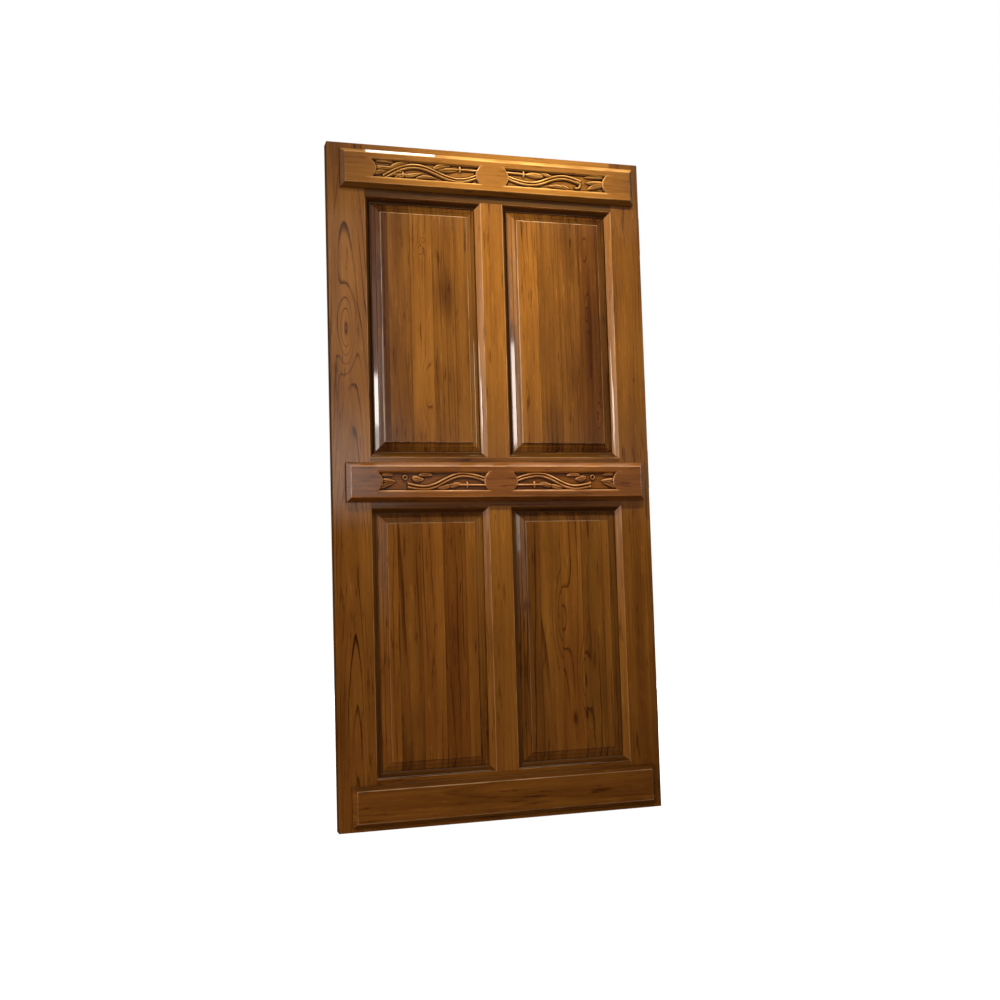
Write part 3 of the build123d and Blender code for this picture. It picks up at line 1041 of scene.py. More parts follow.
@dataclass
class MouldingFrame:
    """Planted strips round an opening, mitred at the corners, in millimetres."""

    opening: Opening
    width: float = 19.0
    crown: float = 1.5
    fillet: float = 1.5
    depth: float = 13.0
    hollow: float = 1.4
    hollow_points: int = 15
    seat: float = 16.7
    ease: float = 0.9
    sharp: float = 28.0
    least_shade: float = 0.05
    shade_rise: float = 1.4
    crown_width: float = 0.7
    head_wear_highlight: float = 0.15
    lip_wear_highlight: float = 0.6
    lip_width: float = 0.8
    lip_height: float = 1.0
    sides: tuple[str, ...] = ("sill", "hinge_side", "head", "lock_side")

    def outline(self) -> np.ndarray:
        """Closed section: a crown flush with the frame, a hollow, a fillet over the panel and a flat back.

        The hollow is a straight run from crown to fillet plus a parabola across it.

        Returns:
            Inset and depth of each point.
        """
        start = np.array([self.crown, 0.0])
        end = np.array([self.width - self.fillet, self.depth])
        run = end - start
        away = np.array([-run[1], run[0]]) / np.linalg.norm(run)
        t = np.linspace(0.0, 1.0, self.hollow_points)[:, None]
        parabola = 4.0 * t * (1.0 - t)
        hollow = start + t * run + self.hollow * parabola * away
        front = eased(((0.0, self.ease), (0.0, 0.0), (self.crown, 0.0)), self.ease)[1:-1]
        lip = eased((hollow[-1], (self.width, self.depth), (self.width, self.seat)), self.ease)[1:-1]
        back = np.array([[self.width, self.seat], [0.0, self.seat]])
        return np.vstack([front, hollow, lip, back])

    def mark(self, piece: bpy.types.Object, outline: np.ndarray, crown_wear_highlight: float) -> None:
        """Marks painted shade that deepens towards the panel, and wear with painted highlights on the crown
        and the lip.

        Args:
            piece: The strip.
            outline: Section of the strip.
            crown_wear_highlight: Share of wear and painted highlight on its crown.
        """
        inset, depth = outline.T
        # Painted shade, deeper towards the panel.
        recess_shade = np.clip(self.least_shade + self.shade_rise * depth / self.depth, 0.0, 1.0)
        mark_points(piece, "recess", np.tile(recess_shade, 2))
        # Wear and painted highlight lines on the crown and the lip, less on the head's crown, which faces
        # down.
        crown = crown_wear_highlight * bell(depth, 0.0, self.crown_width)
        lip = bell(inset, self.width, self.lip_width) * bell(depth, self.depth, self.lip_height)
        mark_points(piece, "wear_and_highlight", np.tile(np.maximum(crown, self.lip_wear_highlight * lip), 2))

    def build(self, finishes: dict[str, bpy.types.Material]) -> None:
        """Four strips: each carries the section from one corner of the opening to the next.

        Args:
            finishes: Materials by row and side.
        """
        outline = self.outline()
        rings = self.opening.rings(outline)
        count = len(outline)
        faces = ring_faces(2, count)[:, ::-1].tolist()
        faces.append(list(range(count)))
        faces.append(list(range(2 * count - 1, count - 1, -1)))
        for corner, side in enumerate(self.sides):
            ends = np.stack([rings[:, corner], rings[:, (corner + 1) % 4]])
            finish = finishes[f"{self.opening.row}_{side}"]
            piece = make_piece(f"{self.opening.name}_{side}_strip", ends, faces, finish, self.sharp)
            self.mark(piece, outline, self.head_wear_highlight if side == "head" else 1.0)
            settle(piece, BODY, "moulding_teak", f"{self.opening.name}_moulding_{side}")


@dataclass(frozen=True)
class Vine:
    """Carving in one cartouche, in millimetres.

    Places are shares of its length and height from its centre. A leaf has a root, a tip, a breadth and a
    bow, a twig two ends, a node and a ring a centre, and a hook a centre and a radius.
    """

    length: float = 356.0
    height: float = 58.0
    stem_width: float = 20.0
    stem_relief: float = 8.4
    stem_taper: float = 0.22
    ridge_power: float = 0.42
    leaf_relief: float = 8.2
    leaf_belly_power: float = 0.8
    leaf_side_power: float = 0.75
    leaf_round_power: float = 0.45
    leaf_least: float = 0.05
    leaf_low_share: float = 0.62
    leaf_lift_power: float = 0.7
    vein_depth: float = 0.38
    vein_width: float = 0.9
    twig_radius: float = 3.9
    twig_steepness: float = 2.0
    node_width: float = 4.2
    node_height: float = 13.0
    node_relief: float = 8.0
    ring_radius: float = 6.2
    ring_width: float = 2.4
    ring_relief: float = 7.5
    hook_width: float = 4.2
    hook_gap: Pair = (-0.9, 0.7)
    foot: Pair = (-0.40, -0.50)
    crest: Pair = (-0.10, 0.25)
    trough: Pair = (0.29, -0.36)
    inner: Pair = (0.52, 0.08)
    leaves: tuple[tuple[float, float, float, float, float, float], ...] = (
        (-0.46, 0.42, -0.28, 0.34, 0.26, 0.08),
        (-0.47, 0.10, -0.29, 0.16, 0.30, -0.08),
        (-0.48, -0.30, -0.34, -0.16, 0.28, 0.06),
        (-0.34, 0.02, -0.16, 0.46, 0.30, 0.08),
        (-0.29, -0.44, -0.19, -0.14, 0.30, -0.06),
        (-0.22, -0.30, -0.04, -0.08, 0.26, -0.06),
        (-0.10, -0.40, 0.10, -0.34, 0.28, 0.06),
        (0.06, 0.18, 0.22, 0.42, 0.34, 0.08),
        (0.10, 0.16, 0.30, 0.22, 0.26, -0.05),
    )
    twigs: tuple[tuple[float, float, float, float], ...] = (
        (0.17, 0.24, 0.51, 0.26),
        (-0.30, -0.28, -0.14, -0.24),
    )
    nodes: tuple[Pair, ...] = ((0.31, 0.25), (-0.215, -0.26))
    rings: tuple[Pair, ...] = ((-0.245, -0.02),)
    hooks: tuple[Place, ...] = ()

    def placed(self, shares: Sequence[float]) -> np.ndarray:
        """Place in millimetres from shares of the length and the height."""
        return np.array(shares) * (self.length, self.height)

    def stem(self, u: np.ndarray, v: np.ndarray) -> np.ndarray:
        """Two half-round ribs side by side, along a line that is a sine between its turning points.

        Args:
            u, v: Places along and up the cartouche.

        Returns:
            Height over the floor.
        """
        foot, crest, trough, inner = map(self.placed, (self.foot, self.crest, self.trough, self.inner))
        rise = np.sin(np.clip((u - foot[0]) / (crest[0] - foot[0]), 0.0, 1.0) * np.pi / 2)
        fall = (1.0 - np.cos(np.clip((u - crest[0]) / (trough[0] - crest[0]), 0.0, 1.0) * np.pi)) / 2
        climb = 1.0 - np.cos(np.clip((u - trough[0]) / (inner[0] - trough[0]), 0.0, 1.0) * np.pi / 2)
        line = foot[1] + rise * (crest - foot)[1] + fall * (trough - crest)[1] + climb * (inner - trough)[1]
        step = np.gradient(u, axis=1)
        slope = np.divide(np.gradient(line, axis=1), step, out=np.zeros_like(line), where=step != 0.0)
        away = np.abs(v - line) / np.sqrt(1.0 + slope**2)
        taper = 1.0 - self.stem_taper * np.clip((u - foot[0]) / (inner[0] - foot[0]), 0.0, 1.0)
        rib = self.stem_width / 4.0 * taper
        ridge = np.clip(1.0 - ((away - rib) / rib) ** 2, 0.0, 1.0) ** self.ridge_power
        return np.where(u >= foot[0], self.stem_relief * ridge, 0.0)

    def leaf(self, u: np.ndarray, v: np.ndarray, shape: Sequence[float]) -> np.ndarray:
        """Pointed, bowed blade: a lens about its line, a vein cut along it, and a lift between its ends.

        Args:
            u, v: Places along and up the cartouche.
            shape: Root, tip, breadth and bow, as shares of the length and the height.

        Returns:
            Height over the floor.
        """
        root = self.placed(shape[:2])
        run = self.placed(shape[2:4]) - root
        breadth, bow = np.array(shape[4:]) * self.height
        size = np.linalg.norm(run)
        along = ((u - root[0]) * run[0] + (v - root[1]) * run[1]) / size**2
        across = ((v - root[1]) * run[0] - (u - root[0]) * run[1]) / size
        inside = np.clip(along, 0.0, 1.0)
        across = across - bow * np.sin(np.pi * inside)
        half = breadth / 2 * np.sin(np.pi * inside**self.leaf_belly_power) ** self.leaf_side_power
        edge = (np.abs(across) / np.maximum(half, self.leaf_least)) ** 2
        lens = np.clip(1.0 - edge, 0.0, 1.0) ** self.leaf_round_power
        vein = 1.0 - self.vein_depth * bell(across, 0.0, self.vein_width)
        low = self.leaf_low_share
        lift = low + (1.0 - low) * np.sin(np.pi * inside**self.leaf_lift_power)
        return np.where((along > 0.0) & (along < 1.0), self.leaf_relief * lens * vein * lift, 0.0)

    def twig(self, u: np.ndarray, v: np.ndarray, ends: Sequence[float]) -> np.ndarray:
        """Steep round twig: a circle's height over the distance from a straight line, times its steepness.

        Args:
            u, v: Places along and up the cartouche.
            ends: Both ends, as shares of the length and the height.

        Returns:
            Height over the floor.
        """
        start = self.placed(ends[:2])
        run = self.placed(ends[2:]) - start
        share = np.clip(((u - start[0]) * run[0] + (v - start[1]) * run[1]) / (run @ run), 0.0, 1.0)
        gap = np.hypot(u - start[0] - share * run[0], v - start[1] - share * run[1])
        return self.twig_steepness * np.sqrt(np.clip(self.twig_radius**2 - gap**2, 0.0, None))

    def surface(self, u: np.ndarray, v: np.ndarray) -> np.ndarray:
        """Highest of the stem, leaves, twigs, nodes, rings and hooks over the cartouche's floor.

        Nodes are half ellipsoids, rings are half-round in section, and hooks are ribs round an open circle.

        Args:
            u, v: Places along and up the cartouche.

        Returns:
            Height over the floor.
        """
        forms = [self.stem(u, v)]
        forms += [self.leaf(u, v, shape) for shape in self.leaves]
        forms += [self.twig(u, v, ends) for ends in self.twigs]
        for centre in self.nodes:
            x, z = self.placed(centre)
            square = ((u - x) / self.node_width) ** 2 + ((v - z) / self.node_height) ** 2
            forms.append(self.node_relief * np.sqrt(np.clip(1.0 - square, 0.0, 1.0)))
        for centre in self.rings:
            x, z = self.placed(centre)
            gap = np.hypot(u - x, v - z) - self.ring_radius
            forms.append(self.ring_relief * np.sqrt(np.clip(1.0 - (gap / self.ring_width) ** 2, 0.0, 1.0)))
        for *centre, radius in self.hooks:
            x, z = self.placed(centre)
            gap = np.hypot(u - x, v - z) - radius
            turn = np.arctan2(v - z, u - x)
            curl = (turn > self.hook_gap[1]) | (turn < self.hook_gap[0])
            rib = np.clip(1.0 - (gap / self.hook_width) ** 2, 0.0, 1.0) ** self.ridge_power
            forms.append(curl * self.stem_relief * rib)
        return np.max(forms, axis=0)


@dataclass
class CarvedBoard:
    """Board across a rail with chamfered edges and two sunk cartouches, in millimetres from its centre."""

    node: str
    name: str
    design: Design
    vine: Vine = field(default_factory=Vine)
    right_vine: Vine | None = None
    chamfer: float = 14.0
    shoulder: float = 2.5
    ease: float = 1.6
    sharp: float = 42.0
    gap: float = 80.0
    bow: float = 14.0
    depth: float = 9.0
    wall: float = 1.6
    rim: float = 3.4
    rim_drop_share: float = 0.9
    cover: float = 0.2
    tool_mark: float = 0.35
    tool_pitch: float = 6.5
    tool_skew: float = 0.7
    cells_along: int = 380
    cells_up: int = 74
    border_cells_along: int = 5
    border_cells_up: int = 4
    plain_cells_along: int = 24
    plain_cells_up: int = 6
    upper_chamfer_highlight: float = 0.0
    carving_wear_highlight: float = 1.0
    end_wear_highlight: float = 1.0
    rim_wear_highlight_share: float = 0.7
    upper_rim_wear_highlight: float = 0.2
    bowed_rim_wear_highlight: float = 0.8
    arris_shift: float = 0.2
    arris_width: float = 1.1
    floor_shade: float = 0.12
    crevice: float = 2.0
    hand: int = 4

    def lines(self, half_length: float, half_height: float) -> tuple[np.ndarray, np.ndarray]:
        """Grid lines along and up the front face, close together over the cartouches.

        Args:
            half_length, half_height: Half sizes of the flat front.

        Returns:
            Places of the lines along and up.
        """
        if self.design is Design.PLAIN:
            along = np.linspace(-half_length, half_length, self.plain_cells_along)
            return along, np.linspace(-half_height, half_height, self.plain_cells_up)
        near = self.gap / 2 - self.wall
        far = self.gap / 2 + self.vine.length + self.wall
        top = self.vine.height / 2 + self.wall
        counts_along = (self.border_cells_along, self.cells_along, self.border_cells_along)
        counts_up = (self.border_cells_up, self.cells_up, self.border_cells_up)
        right = joined_lines((0.0, near, far, half_length), counts_along)
        up = joined_lines((-half_height, -top, top, half_height), counts_up)
        return np.concatenate([-right[:0:-1], right]), up

    def in_cartouche(self, x: np.ndarray, z: np.ndarray) -> tuple[np.ndarray, np.ndarray]:
        """Places along and up the nearer cartouche, from its centre, with the right one mirrored."""
        u = (self.gap + self.vine.length) / 2 - np.abs(x)
        return u, z if self.design is Design.RISING else -z

    def relief(self, x: np.ndarray, u: np.ndarray, v: np.ndarray) -> np.ndarray:
        """Height of the carving over the floor: the left vine, or the right one where the board has it."""
        left = self.vine.surface(u, v)
        return np.where(x > 0.0, self.right_vine.surface(u, v), left) if self.right_vine else left

    def from_end(self, u: np.ndarray, v: np.ndarray) -> np.ndarray:
        """Distance in from the nearer bowed end: the half length less a parabola over the height."""
        bow = self.bow * np.clip(1.0 - (2.0 * v / self.vine.height) ** 2, 0.0, 1.0)
        return self.vine.length / 2 - bow - np.abs(u)

    def inside(self, u: np.ndarray, v: np.ndarray) -> np.ndarray:
        """Distance in from a cartouche's rim: the least of those from its long edges and its bowed ends."""
        half = self.vine.height / 2
        return np.minimum(half - np.abs(v), self.from_end(u, v)) + self.rim / 2

    def sink(self, x: np.ndarray, z: np.ndarray) -> np.ndarray:
        """Depth below the front: a pocket with a chamfered rim and bowed ends, less the vine's height.

        The floor's tool marks are a product of two sines.

        Args:
            x, z: Places along and up the board.

        Returns:
            Depth in millimetres.
        """
        if self.design is Design.PLAIN:
            return np.zeros_like(x)
        u, v = self.in_cartouche(x, z)
        inside = self.inside(u, v)
        stops = (0.0, self.rim, self.rim + self.wall)
        floor = np.interp(inside, stops, (0.0, self.rim_drop_share * self.rim, self.depth))
        pitch = 2.0 * np.pi / self.tool_pitch
        marks = 1.0 + np.sin(pitch * u + self.tool_skew * v) * np.sin(pitch * v)
        floor = floor - self.tool_mark * marks * (inside > self.rim)
        carving = np.minimum(self.relief(x, u, v), self.depth - self.cover)
        return np.minimum(floor, self.depth - carving)

    def carved(self, x: np.ndarray, z: np.ndarray, ridge: np.ndarray) -> np.ndarray:
        """Share of wear and painted highlight: the vine's ridges inside the cartouches, and their rims, most
        at the lower edge, as if lit from above.

        Args:
            x, z: Places along and up the board.
            ridge: How far each place stands above those round it, from 0 to 1.

        Returns:
            Share from 0 to 1.
        """
        if self.design is Design.PLAIN:
            return np.zeros_like(x)
        u, v = self.in_cartouche(x, z)
        inside = self.inside(u, v)
        rim = np.clip(1.0 - np.abs(inside - self.rim / 2) / (self.rim_wear_highlight_share * self.rim), 0.0, 1.0)
        ends = np.where(self.from_end(u, v) < self.rim, self.bowed_rim_wear_highlight, self.upper_rim_wear_highlight)
        return np.where(inside > self.rim, ridge, rim * np.where(z < 0.0, 1.0, ends))

    def edge_outline(self, thickness: float) -> np.ndarray:
        """Section of the edge: a shoulder, the chamfer and a straight side to the back.

        Args:
            thickness: Thickness of the board.

        Returns:
            Inset from the side and depth behind the front of each point.
        """
        corners = (
            (self.chamfer + self.shoulder, 0.0),
            (self.chamfer, 0.0),
            (self.chamfer - self.shoulder, self.shoulder),
            (0.0, self.chamfer),
            (0.0, thickness),
        )
        return eased(corners, self.ease)[1:]

    def edge_wear_highlight(self, outline: np.ndarray, level: np.ndarray, top: float) -> np.ndarray:
        """Share of wear and painted highlight on the edge: along the arris, less at the ends, and a painted
        highlight over the upper chamfer.

        Args:
            outline: Section of the edge.
            level: Height of each point round the border.
            top: Height from which a point is on a long edge.

        Returns:
            Share for each point of each ring.
        """
        arris = bell(outline[:, 0], self.chamfer - self.arris_shift, self.arris_width)
        slope = np.where(outline[:, 1] < self.chamfer, self.upper_chamfer_highlight, 0.0)
        along = np.where(np.abs(level) > top, 1.0, self.end_wear_highlight)
        upper = np.where(level > top, 1.0, 0.0)
        return np.maximum(arris[:, None] * along, slope[:, None] * upper)

    def build(self, material: bpy.types.Material) -> bpy.types.Object:
        """Closed board: the carved grid, then rings from its border over the chamfer to the back.

        Args:
            material: Finish of the board.

        Returns:
            The new piece.
        """
        low, high = (np.array(corner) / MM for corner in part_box(self.node))
        centre = (low + high) / 2
        half = (high - low) / 2
        flat = half[[0, 2]] - self.chamfer - self.shoulder
        x, z = np.meshgrid(*self.lines(*flat))
        sunk = self.sink(x, z)
        grid = np.stack([x, sunk, z], axis=-1).reshape(-1, 3)
        number = np.arange(x.size).reshape(x.shape)
        quads = (number[:-1, :-1], number[:-1, 1:], number[1:, 1:], number[1:, :-1])
        cells = np.stack(quads, axis=-1).reshape(-1, 4)
        border = np.concatenate([number[0, :-1], number[:-1, -1], number[-1, :0:-1], number[:0:-1, 0]])
        outline = self.edge_outline(2 * half[1])
        edge = grid[border]
        scale = (half[[0, 2]] - outline[:, :1]) / flat
        count = len(border)
        rim = np.empty((len(outline), count, 3))
        rim[:, :, 0] = edge[None, :, 0] * scale[:, :1]
        rim[:, :, 1] = outline[:, 1:2]
        rim[:, :, 2] = edge[None, :, 2] * scale[:, 1:]
        first = len(grid) + np.arange(count)
        joined = np.stack([border, first, np.roll(first, -1), np.roll(border, -1)], axis=-1)
        hoops = ring_faces(len(outline), count) + len(grid)
        last = len(grid) + (len(outline) - 1) * count
        back = [list(range(last + count - 1, last - 1, -1))]
        points = np.vstack([grid, rim.reshape(-1, 3)]) + (centre[0], low[1], centre[2])
        faces = np.vstack([cells, joined, hoops]).tolist() + back
        piece = make_piece(self.name, points * MM, faces, material, self.sharp)
        # Painted shade in crevices below their surroundings and on the deep floor, and wear with a painted
        # highlight on ridges above them.
        above = (smoothed(sunk, self.hand) - sunk) / self.crevice
        floor = self.floor_shade * np.clip(2.0 * sunk / self.depth - 1.0, 0.0, 1.0)
        recess = np.clip(np.maximum(-above, floor), 0.0, 1.0)
        mark_points(piece, "recess", np.concatenate([recess.reshape(-1), np.zeros(len(points) - len(grid))]))
        ridges = self.carving_wear_highlight * self.carved(x, z, np.clip(above, 0.0, 1.0))
        edges = self.edge_wear_highlight(outline, edge[:, 2], flat[1] - self.shoulder)
        mark_points(piece, "wear_and_highlight", np.concatenate([ridges.reshape(-1), edges.reshape(-1)]))
        return piece


@dataclass(frozen=True)
class Lamp:
    """Soft rectangular lamp that looks at a point and that no camera sees."""

    name: str
    place: Place
    aim: Place
    size: Pair
    power: float
    tint: Tint = CREAM
    spread: float = 180.0
    gloss: bool = True

    def hang(self) -> None:
        """Adds the lamp to the scene."""
        data = bpy.data.lights.new(self.name, "AREA")
        data.shape = "RECTANGLE"
        data.size, data.size_y = self.size
        data.energy = self.power
        data.color = self.tint
        data.spread = math.radians(self.spread)
        made = bpy.data.objects.new(self.name, data)
        made.location = self.place
        made.rotation_euler = (Vector(self.aim) - Vector(self.place)).to_track_quat("-Z", "Y").to_euler()
        made.visible_camera = False
        made.visible_glossy = self.gloss
        bpy.context.scene.collection.objects.link(made)


LAMPS = (
    Lamp("warm_key", (0.12, -1.30, 3.15), (0.12, 0.0, 1.60), (0.3, 0.15), 6.3, KEY_TINT, 45.0, False),
    Lamp("left_fill", (-4.2, -3.4, 1.3), (0.0, 0.0, 1.0), (2.2, 1.4), 64.0, (1.0, 0.88, 0.74), gloss=False),
    Lamp("back_fill", (1.6, 4.6, 2.2), (0.0, 0.0, 1.1), (2.4, 2.0), 150.0, (1.0, 0.94, 0.86), gloss=False),
    Lamp("glint", (0.55, -0.12, 3.3), (0.55, -0.05, 2.0), (1.9, 0.25), 7.5, (1.0, 0.86, 0.72)),
    Lamp("far_window", (-4.53, -4.4, 2.30), (-0.36, 0.0, 1.34), (0.80, 0.42), 24.0),
    Lamp("far_sill", (-4.53, -4.4, 1.94), (-0.36, 0.0, 1.2), (0.80, 0.28), 5.0),
    Lamp("near_window", (-3.20, -4.4, 2.25), (0.10, 0.0, 1.35), (0.50, 0.80), 22.0),
    Lamp("left_box", (-3.6, -1.2, 1.9), (0.0, 0.0, 1.4), (1.6, 1.6), 12.0, (1.0, 0.92, 0.82)),
    Lamp("ceiling_panel", (-0.03, 0.50, 3.34), (-0.03, 0.4, 2.1), (0.3, 0.26), 2.4, (1.0, 0.97, 0.92)),
    Lamp("near_sill", (-3.20, -4.4, 1.15), (0.10, 0.0, 0.9), (0.50, 0.30), 1.2),
    Lamp("far_ledge", (-4.53, -4.4, 1.15), (-0.36, 0.0, 0.9), (0.80, 0.30), 1.8),
)


@dataclass(frozen=True)
class Step:
    """Smooth step of a place along one axis, from one value to another."""

    axis: Axis
    low: float
    high: float
    start: float = 0.0
    end: float = 1.0

    def value(self, sheet: NodeSheet, parts: Sequence[Socket]) -> Socket:
        """Value of the step at each place."""
        return sheet.remap(parts[self.axis.value], self.low, self.high, self.start, self.end)


def wall(start: Pair, end: Pair, low: float, high: float) -> np.ndarray:
    """Corners of an upright sheet over a line on the floor, between two heights."""
    corners = ((*start, low), (*end, low), (*end, high), (*start, high))
    return np.array(corners)


def deck(left: float, right: float, first: float, last: float, level: float) -> np.ndarray:
    """Corners of a level sheet between two X and two Y."""
    corners = ((left, first, level), (right, first, level), (right, last, level), (left, last, level))
    return np.array(corners)


@dataclass
class Studio:
    """Pale floor, soft lights, a dim room that only gloss sees, and the camera."""

    eye: Place = (-1.062, -3.600, 0.723)
    right: Place = (0.9587, -0.2830, -0.0296)
    up: Place = (0.0073, -0.0797, 0.9968)
    lens: float = 42.3
    sensor: float = 36.0
    ambient: float = 0.15
    lamps: tuple[Lamp, ...] = LAMPS
    floor_reach: float = 14.0
    floor_glow: float = 0.82
    glow_edges: Pair = (3.0, 8.0)
    floor_mottle: GrainLayer = GrainLayer(3.0, 3.0)
    floor_dark: Paint = (0.80, 0.80, 0.80, 1.0)
    floor_light: Paint = (0.84, 0.84, 0.84, 1.0)
    floor_rough: float = 0.9
    room_left: float = -4.0
    room_right: float = 4.6
    room_front: float = -4.6
    room_turn: float = -0.9
    room_back: float = 1.0
    room_rear: float = 5.2
    room_top: float = 3.4
    room_lift: float = 0.001
    low_wall: float = 1.3
    high_wall: Pair = (3.1, 5.0)
    sheet_paint: Paint = (0.01, 0.01, 0.01, 1.0)
    sheet_glow: float = 2.0
    sheet_share: float = 0.5

    def place_camera(self) -> None:
        """Camera at the eye, turned to its right and up directions, with no shift."""
        data = bpy.data.cameras.new("camera")
        data.lens = self.lens
        data.sensor_width = self.sensor
        right = Vector(self.right).normalized()
        up = (Vector(self.up) - right * right.dot(Vector(self.up))).normalized()
        turn = Matrix((right, up, right.cross(up))).transposed()
        made = bpy.data.objects.new("camera", data)
        made.matrix_world = Matrix.Translation(self.eye) @ turn.to_4x4()
        bpy.context.scene.collection.objects.link(made)
        bpy.context.scene.camera = made

    def seen(self, sheet: NodeSheet) -> Socket:
        """Tells what the camera, gloss and glass see from the light that falls on pieces.

        Args:
            sheet: Sheet of the material or the world.

        Returns:
            One for what is seen, and nought for the rest.
        """
        path = sheet.node("ShaderNodeLightPath").outputs
        sharp = sheet.math("MAXIMUM", path["Is Camera Ray"], path["Is Glossy Ray"])
        return sheet.math("MAXIMUM", sharp, path["Is Transmission Ray"])

    def light_world(self) -> None:
        """Grey ambient light, and white for what the camera, gloss and glass see."""
        world = bpy.data.worlds.new("studio")
        bpy.context.scene.world = world
        world.use_nodes = True
        sheet = NodeSheet(world.node_tree)
        glow = sheet.math("MULTIPLY_ADD", self.seen(sheet), 1.0 - self.ambient, self.ambient)
        sheet.feed_all(world.node_tree.nodes["Background"], {"Color": WHITE, "Strength": glow})

    def lay_floor(self) -> None:
        """Pale floor that takes shadows, under a glow that grows to white with the distance."""
        pale, sheet, shader = new_material("pale_floor")
        place = sheet.node("ShaderNodeTexCoord").outputs["Object"]
        mottle = self.floor_mottle.value(sheet, place)
        away = sheet.node("ShaderNodeVectorMath", {0: place}, operation="LENGTH").outputs["Value"]
        glow = sheet.remap(away, *self.glow_edges, self.floor_glow, 1.0)
        inputs = {
            "Base Color": sheet.mix(mottle, self.floor_dark, self.floor_light),
            "Roughness": self.floor_rough,
            "Specular IOR Level": 0.0,
            "Emission Color": WHITE,
            "Emission Strength": sheet.math("MULTIPLY", self.seen(sheet), glow),
        }
        sheet.feed_all(shader, inputs)
        reach = self.floor_reach
        floor = make_piece("floor", deck(-reach, reach, -reach, reach, 0.0), [[0, 1, 2, 3]], pale)

    def room_sheets(self) -> np.ndarray:
        """Sheets of the room, each a rectangle.

        Returns:
            Corners of the floor, the front, right, low and high left walls, the ceiling and the rear walls.
        """
        left, right, front, rear = self.room_left, self.room_right, self.room_front, self.room_rear
        turn, back, top, low = self.room_turn, self.room_back, self.room_top, self.low_wall
        return np.stack(
            (
                deck(left, right, rear, front, self.room_lift),
                wall((turn, front), (right, front), 0.0, top),
                wall((right, front), (right, rear), 0.0, top),
                wall((left, front), (turn, front), 0.0, low),
                wall((left, back), (left, front), 0.0, low),
                wall((left, back), (left, front), *self.high_wall),
                deck(left, right, front, rear, top),
                wall((right, rear), (left, rear), 0.0, top),
                wall((left, rear), (left, back), 0.0, top),
            )
        )

    def room_glows(self) -> tuple[tuple[Step, ...], ...]:
        """Pale parts of the room, each a product of steps.

        Returns:
            The steps of the parts ahead at eye level, overhead, behind and to the left.
        """
        front, turn = self.room_front, self.room_turn
        return (
            (
                Step(Axis.Z, 1.1, 1.5),
                Step(Axis.Z, 2.2, 1.6, 0.45, 1.4),
                Step(Axis.X, 0.9, 0.1, 0.22, 1.6),
                Step(Axis.Y, front + 0.3, front + 0.1),
            ),
            (Step(Axis.Y, -2.6, -3.4, 0.0, 0.3), Step(Axis.Z, 3.3, 3.39)),
            (Step(Axis.Y, 0.4, 3.0, 0.0, 0.5), Step(Axis.Z, 0.1, 1.2)),
            (Step(Axis.X, turn, turn - 0.4, 0.0, 0.5), Step(Axis.Z, 0.3, 0.9)),
        )

    def hang_flags(self) -> None:
        """Dark sheets round the stage that only gloss sees, so that the varnish shows a dim room."""
        dark, sheet, shader = new_material("dark_sheet")
        parts = sheet.parts(sheet.node("ShaderNodeTexCoord").outputs["Object"])
        pale: object = 0.0
        for steps in self.room_glows():
            glow: object = 1.0
            for step in steps:
                glow = sheet.math("MULTIPLY", step.value(sheet, parts), glow)
            pale = sheet.math("MAXIMUM", glow, pale)
        share = sheet.math("MULTIPLY", pale, self.sheet_share)
        inputs = {
            "Base Color": self.sheet_paint,
            "Roughness": 1.0,
            "Specular IOR Level": 0.0,
            "Emission Color": sheet.mix(share, BLACK, (*CREAM, 1.0)),
            "Emission Strength": self.sheet_glow,
        }
        sheet.feed_all(shader, inputs)
        sheets = self.room_sheets()
        faces = np.arange(len(sheets) * 4).reshape(-1, 4).tolist()
        flags = make_piece("flags", sheets, faces, dark)
        flags.visible_camera = False
        flags.visible_diffuse = False
        flags.visible_transmission = False
        flags.visible_shadow = False

    def build(self) -> None:
        """Sets the stage."""
        bpy.context.scene.view_settings.view_transform = "Standard"
        self.place_camera()
        self.light_world()
        self.lay_floor()
        self.hang_flags()
        for lamp in self.lamps:
            lamp.hang()


# Upper panels get more painted shade in their recesses and more wear with painted highlight than lower ones.
PANEL_ROWS = {
    "upper": {"recess_shade": 0.78, "figure": 0.5, "pitch": 0.015, "wear_and_highlight": 0.85},
    "lower": {"recess_shade": 0.5, "figure": 0.85, "pitch": 0.019, "wear_and_highlight": 0.3},
}
# Painted shade on each moulding strip by the side that it faces: most on those that face down or right,
# least on those that face left.
STRIP_SHADES = {
    "upper": {"sill": 0.70, "hinge_side": 0.10, "head": 0.90, "lock_side": 0.95},
    "lower": {"sill": 0.55, "hinge_side": 0.05, "head": 0.75, "lock_side": 0.50},
}
HOOKED_VINE = Vine(
    foot=(-0.245, 0.0),
    crest=(-0.07, 0.24),
    trough=(0.25, -0.26),
    inner=(0.52, 0.12),
    leaves=(
        (-0.49, 0.00, -0.31, -0.32, 0.40, 0.05),
        (-0.49, 0.08, -0.29, 0.06, 0.36, -0.04),
        (-0.48, 0.40, -0.28, 0.34, 0.28, 0.05),
        (-0.13, -0.42, -0.05, -0.16, 0.30, -0.05),
        (-0.10, -0.40, 0.08, -0.30, 0.26, 0.06),
        (0.02, 0.10, 0.16, 0.40, 0.24, 0.06),
        (0.12, 0.22, 0.31, 0.25, 0.40, 0.02),
    ),
    twigs=((0.17, 0.24, 0.51, 0.30),),
    nodes=((0.31, 0.26),),
    rings=(),
    hooks=((-0.205, -0.14, 11.0),),
)
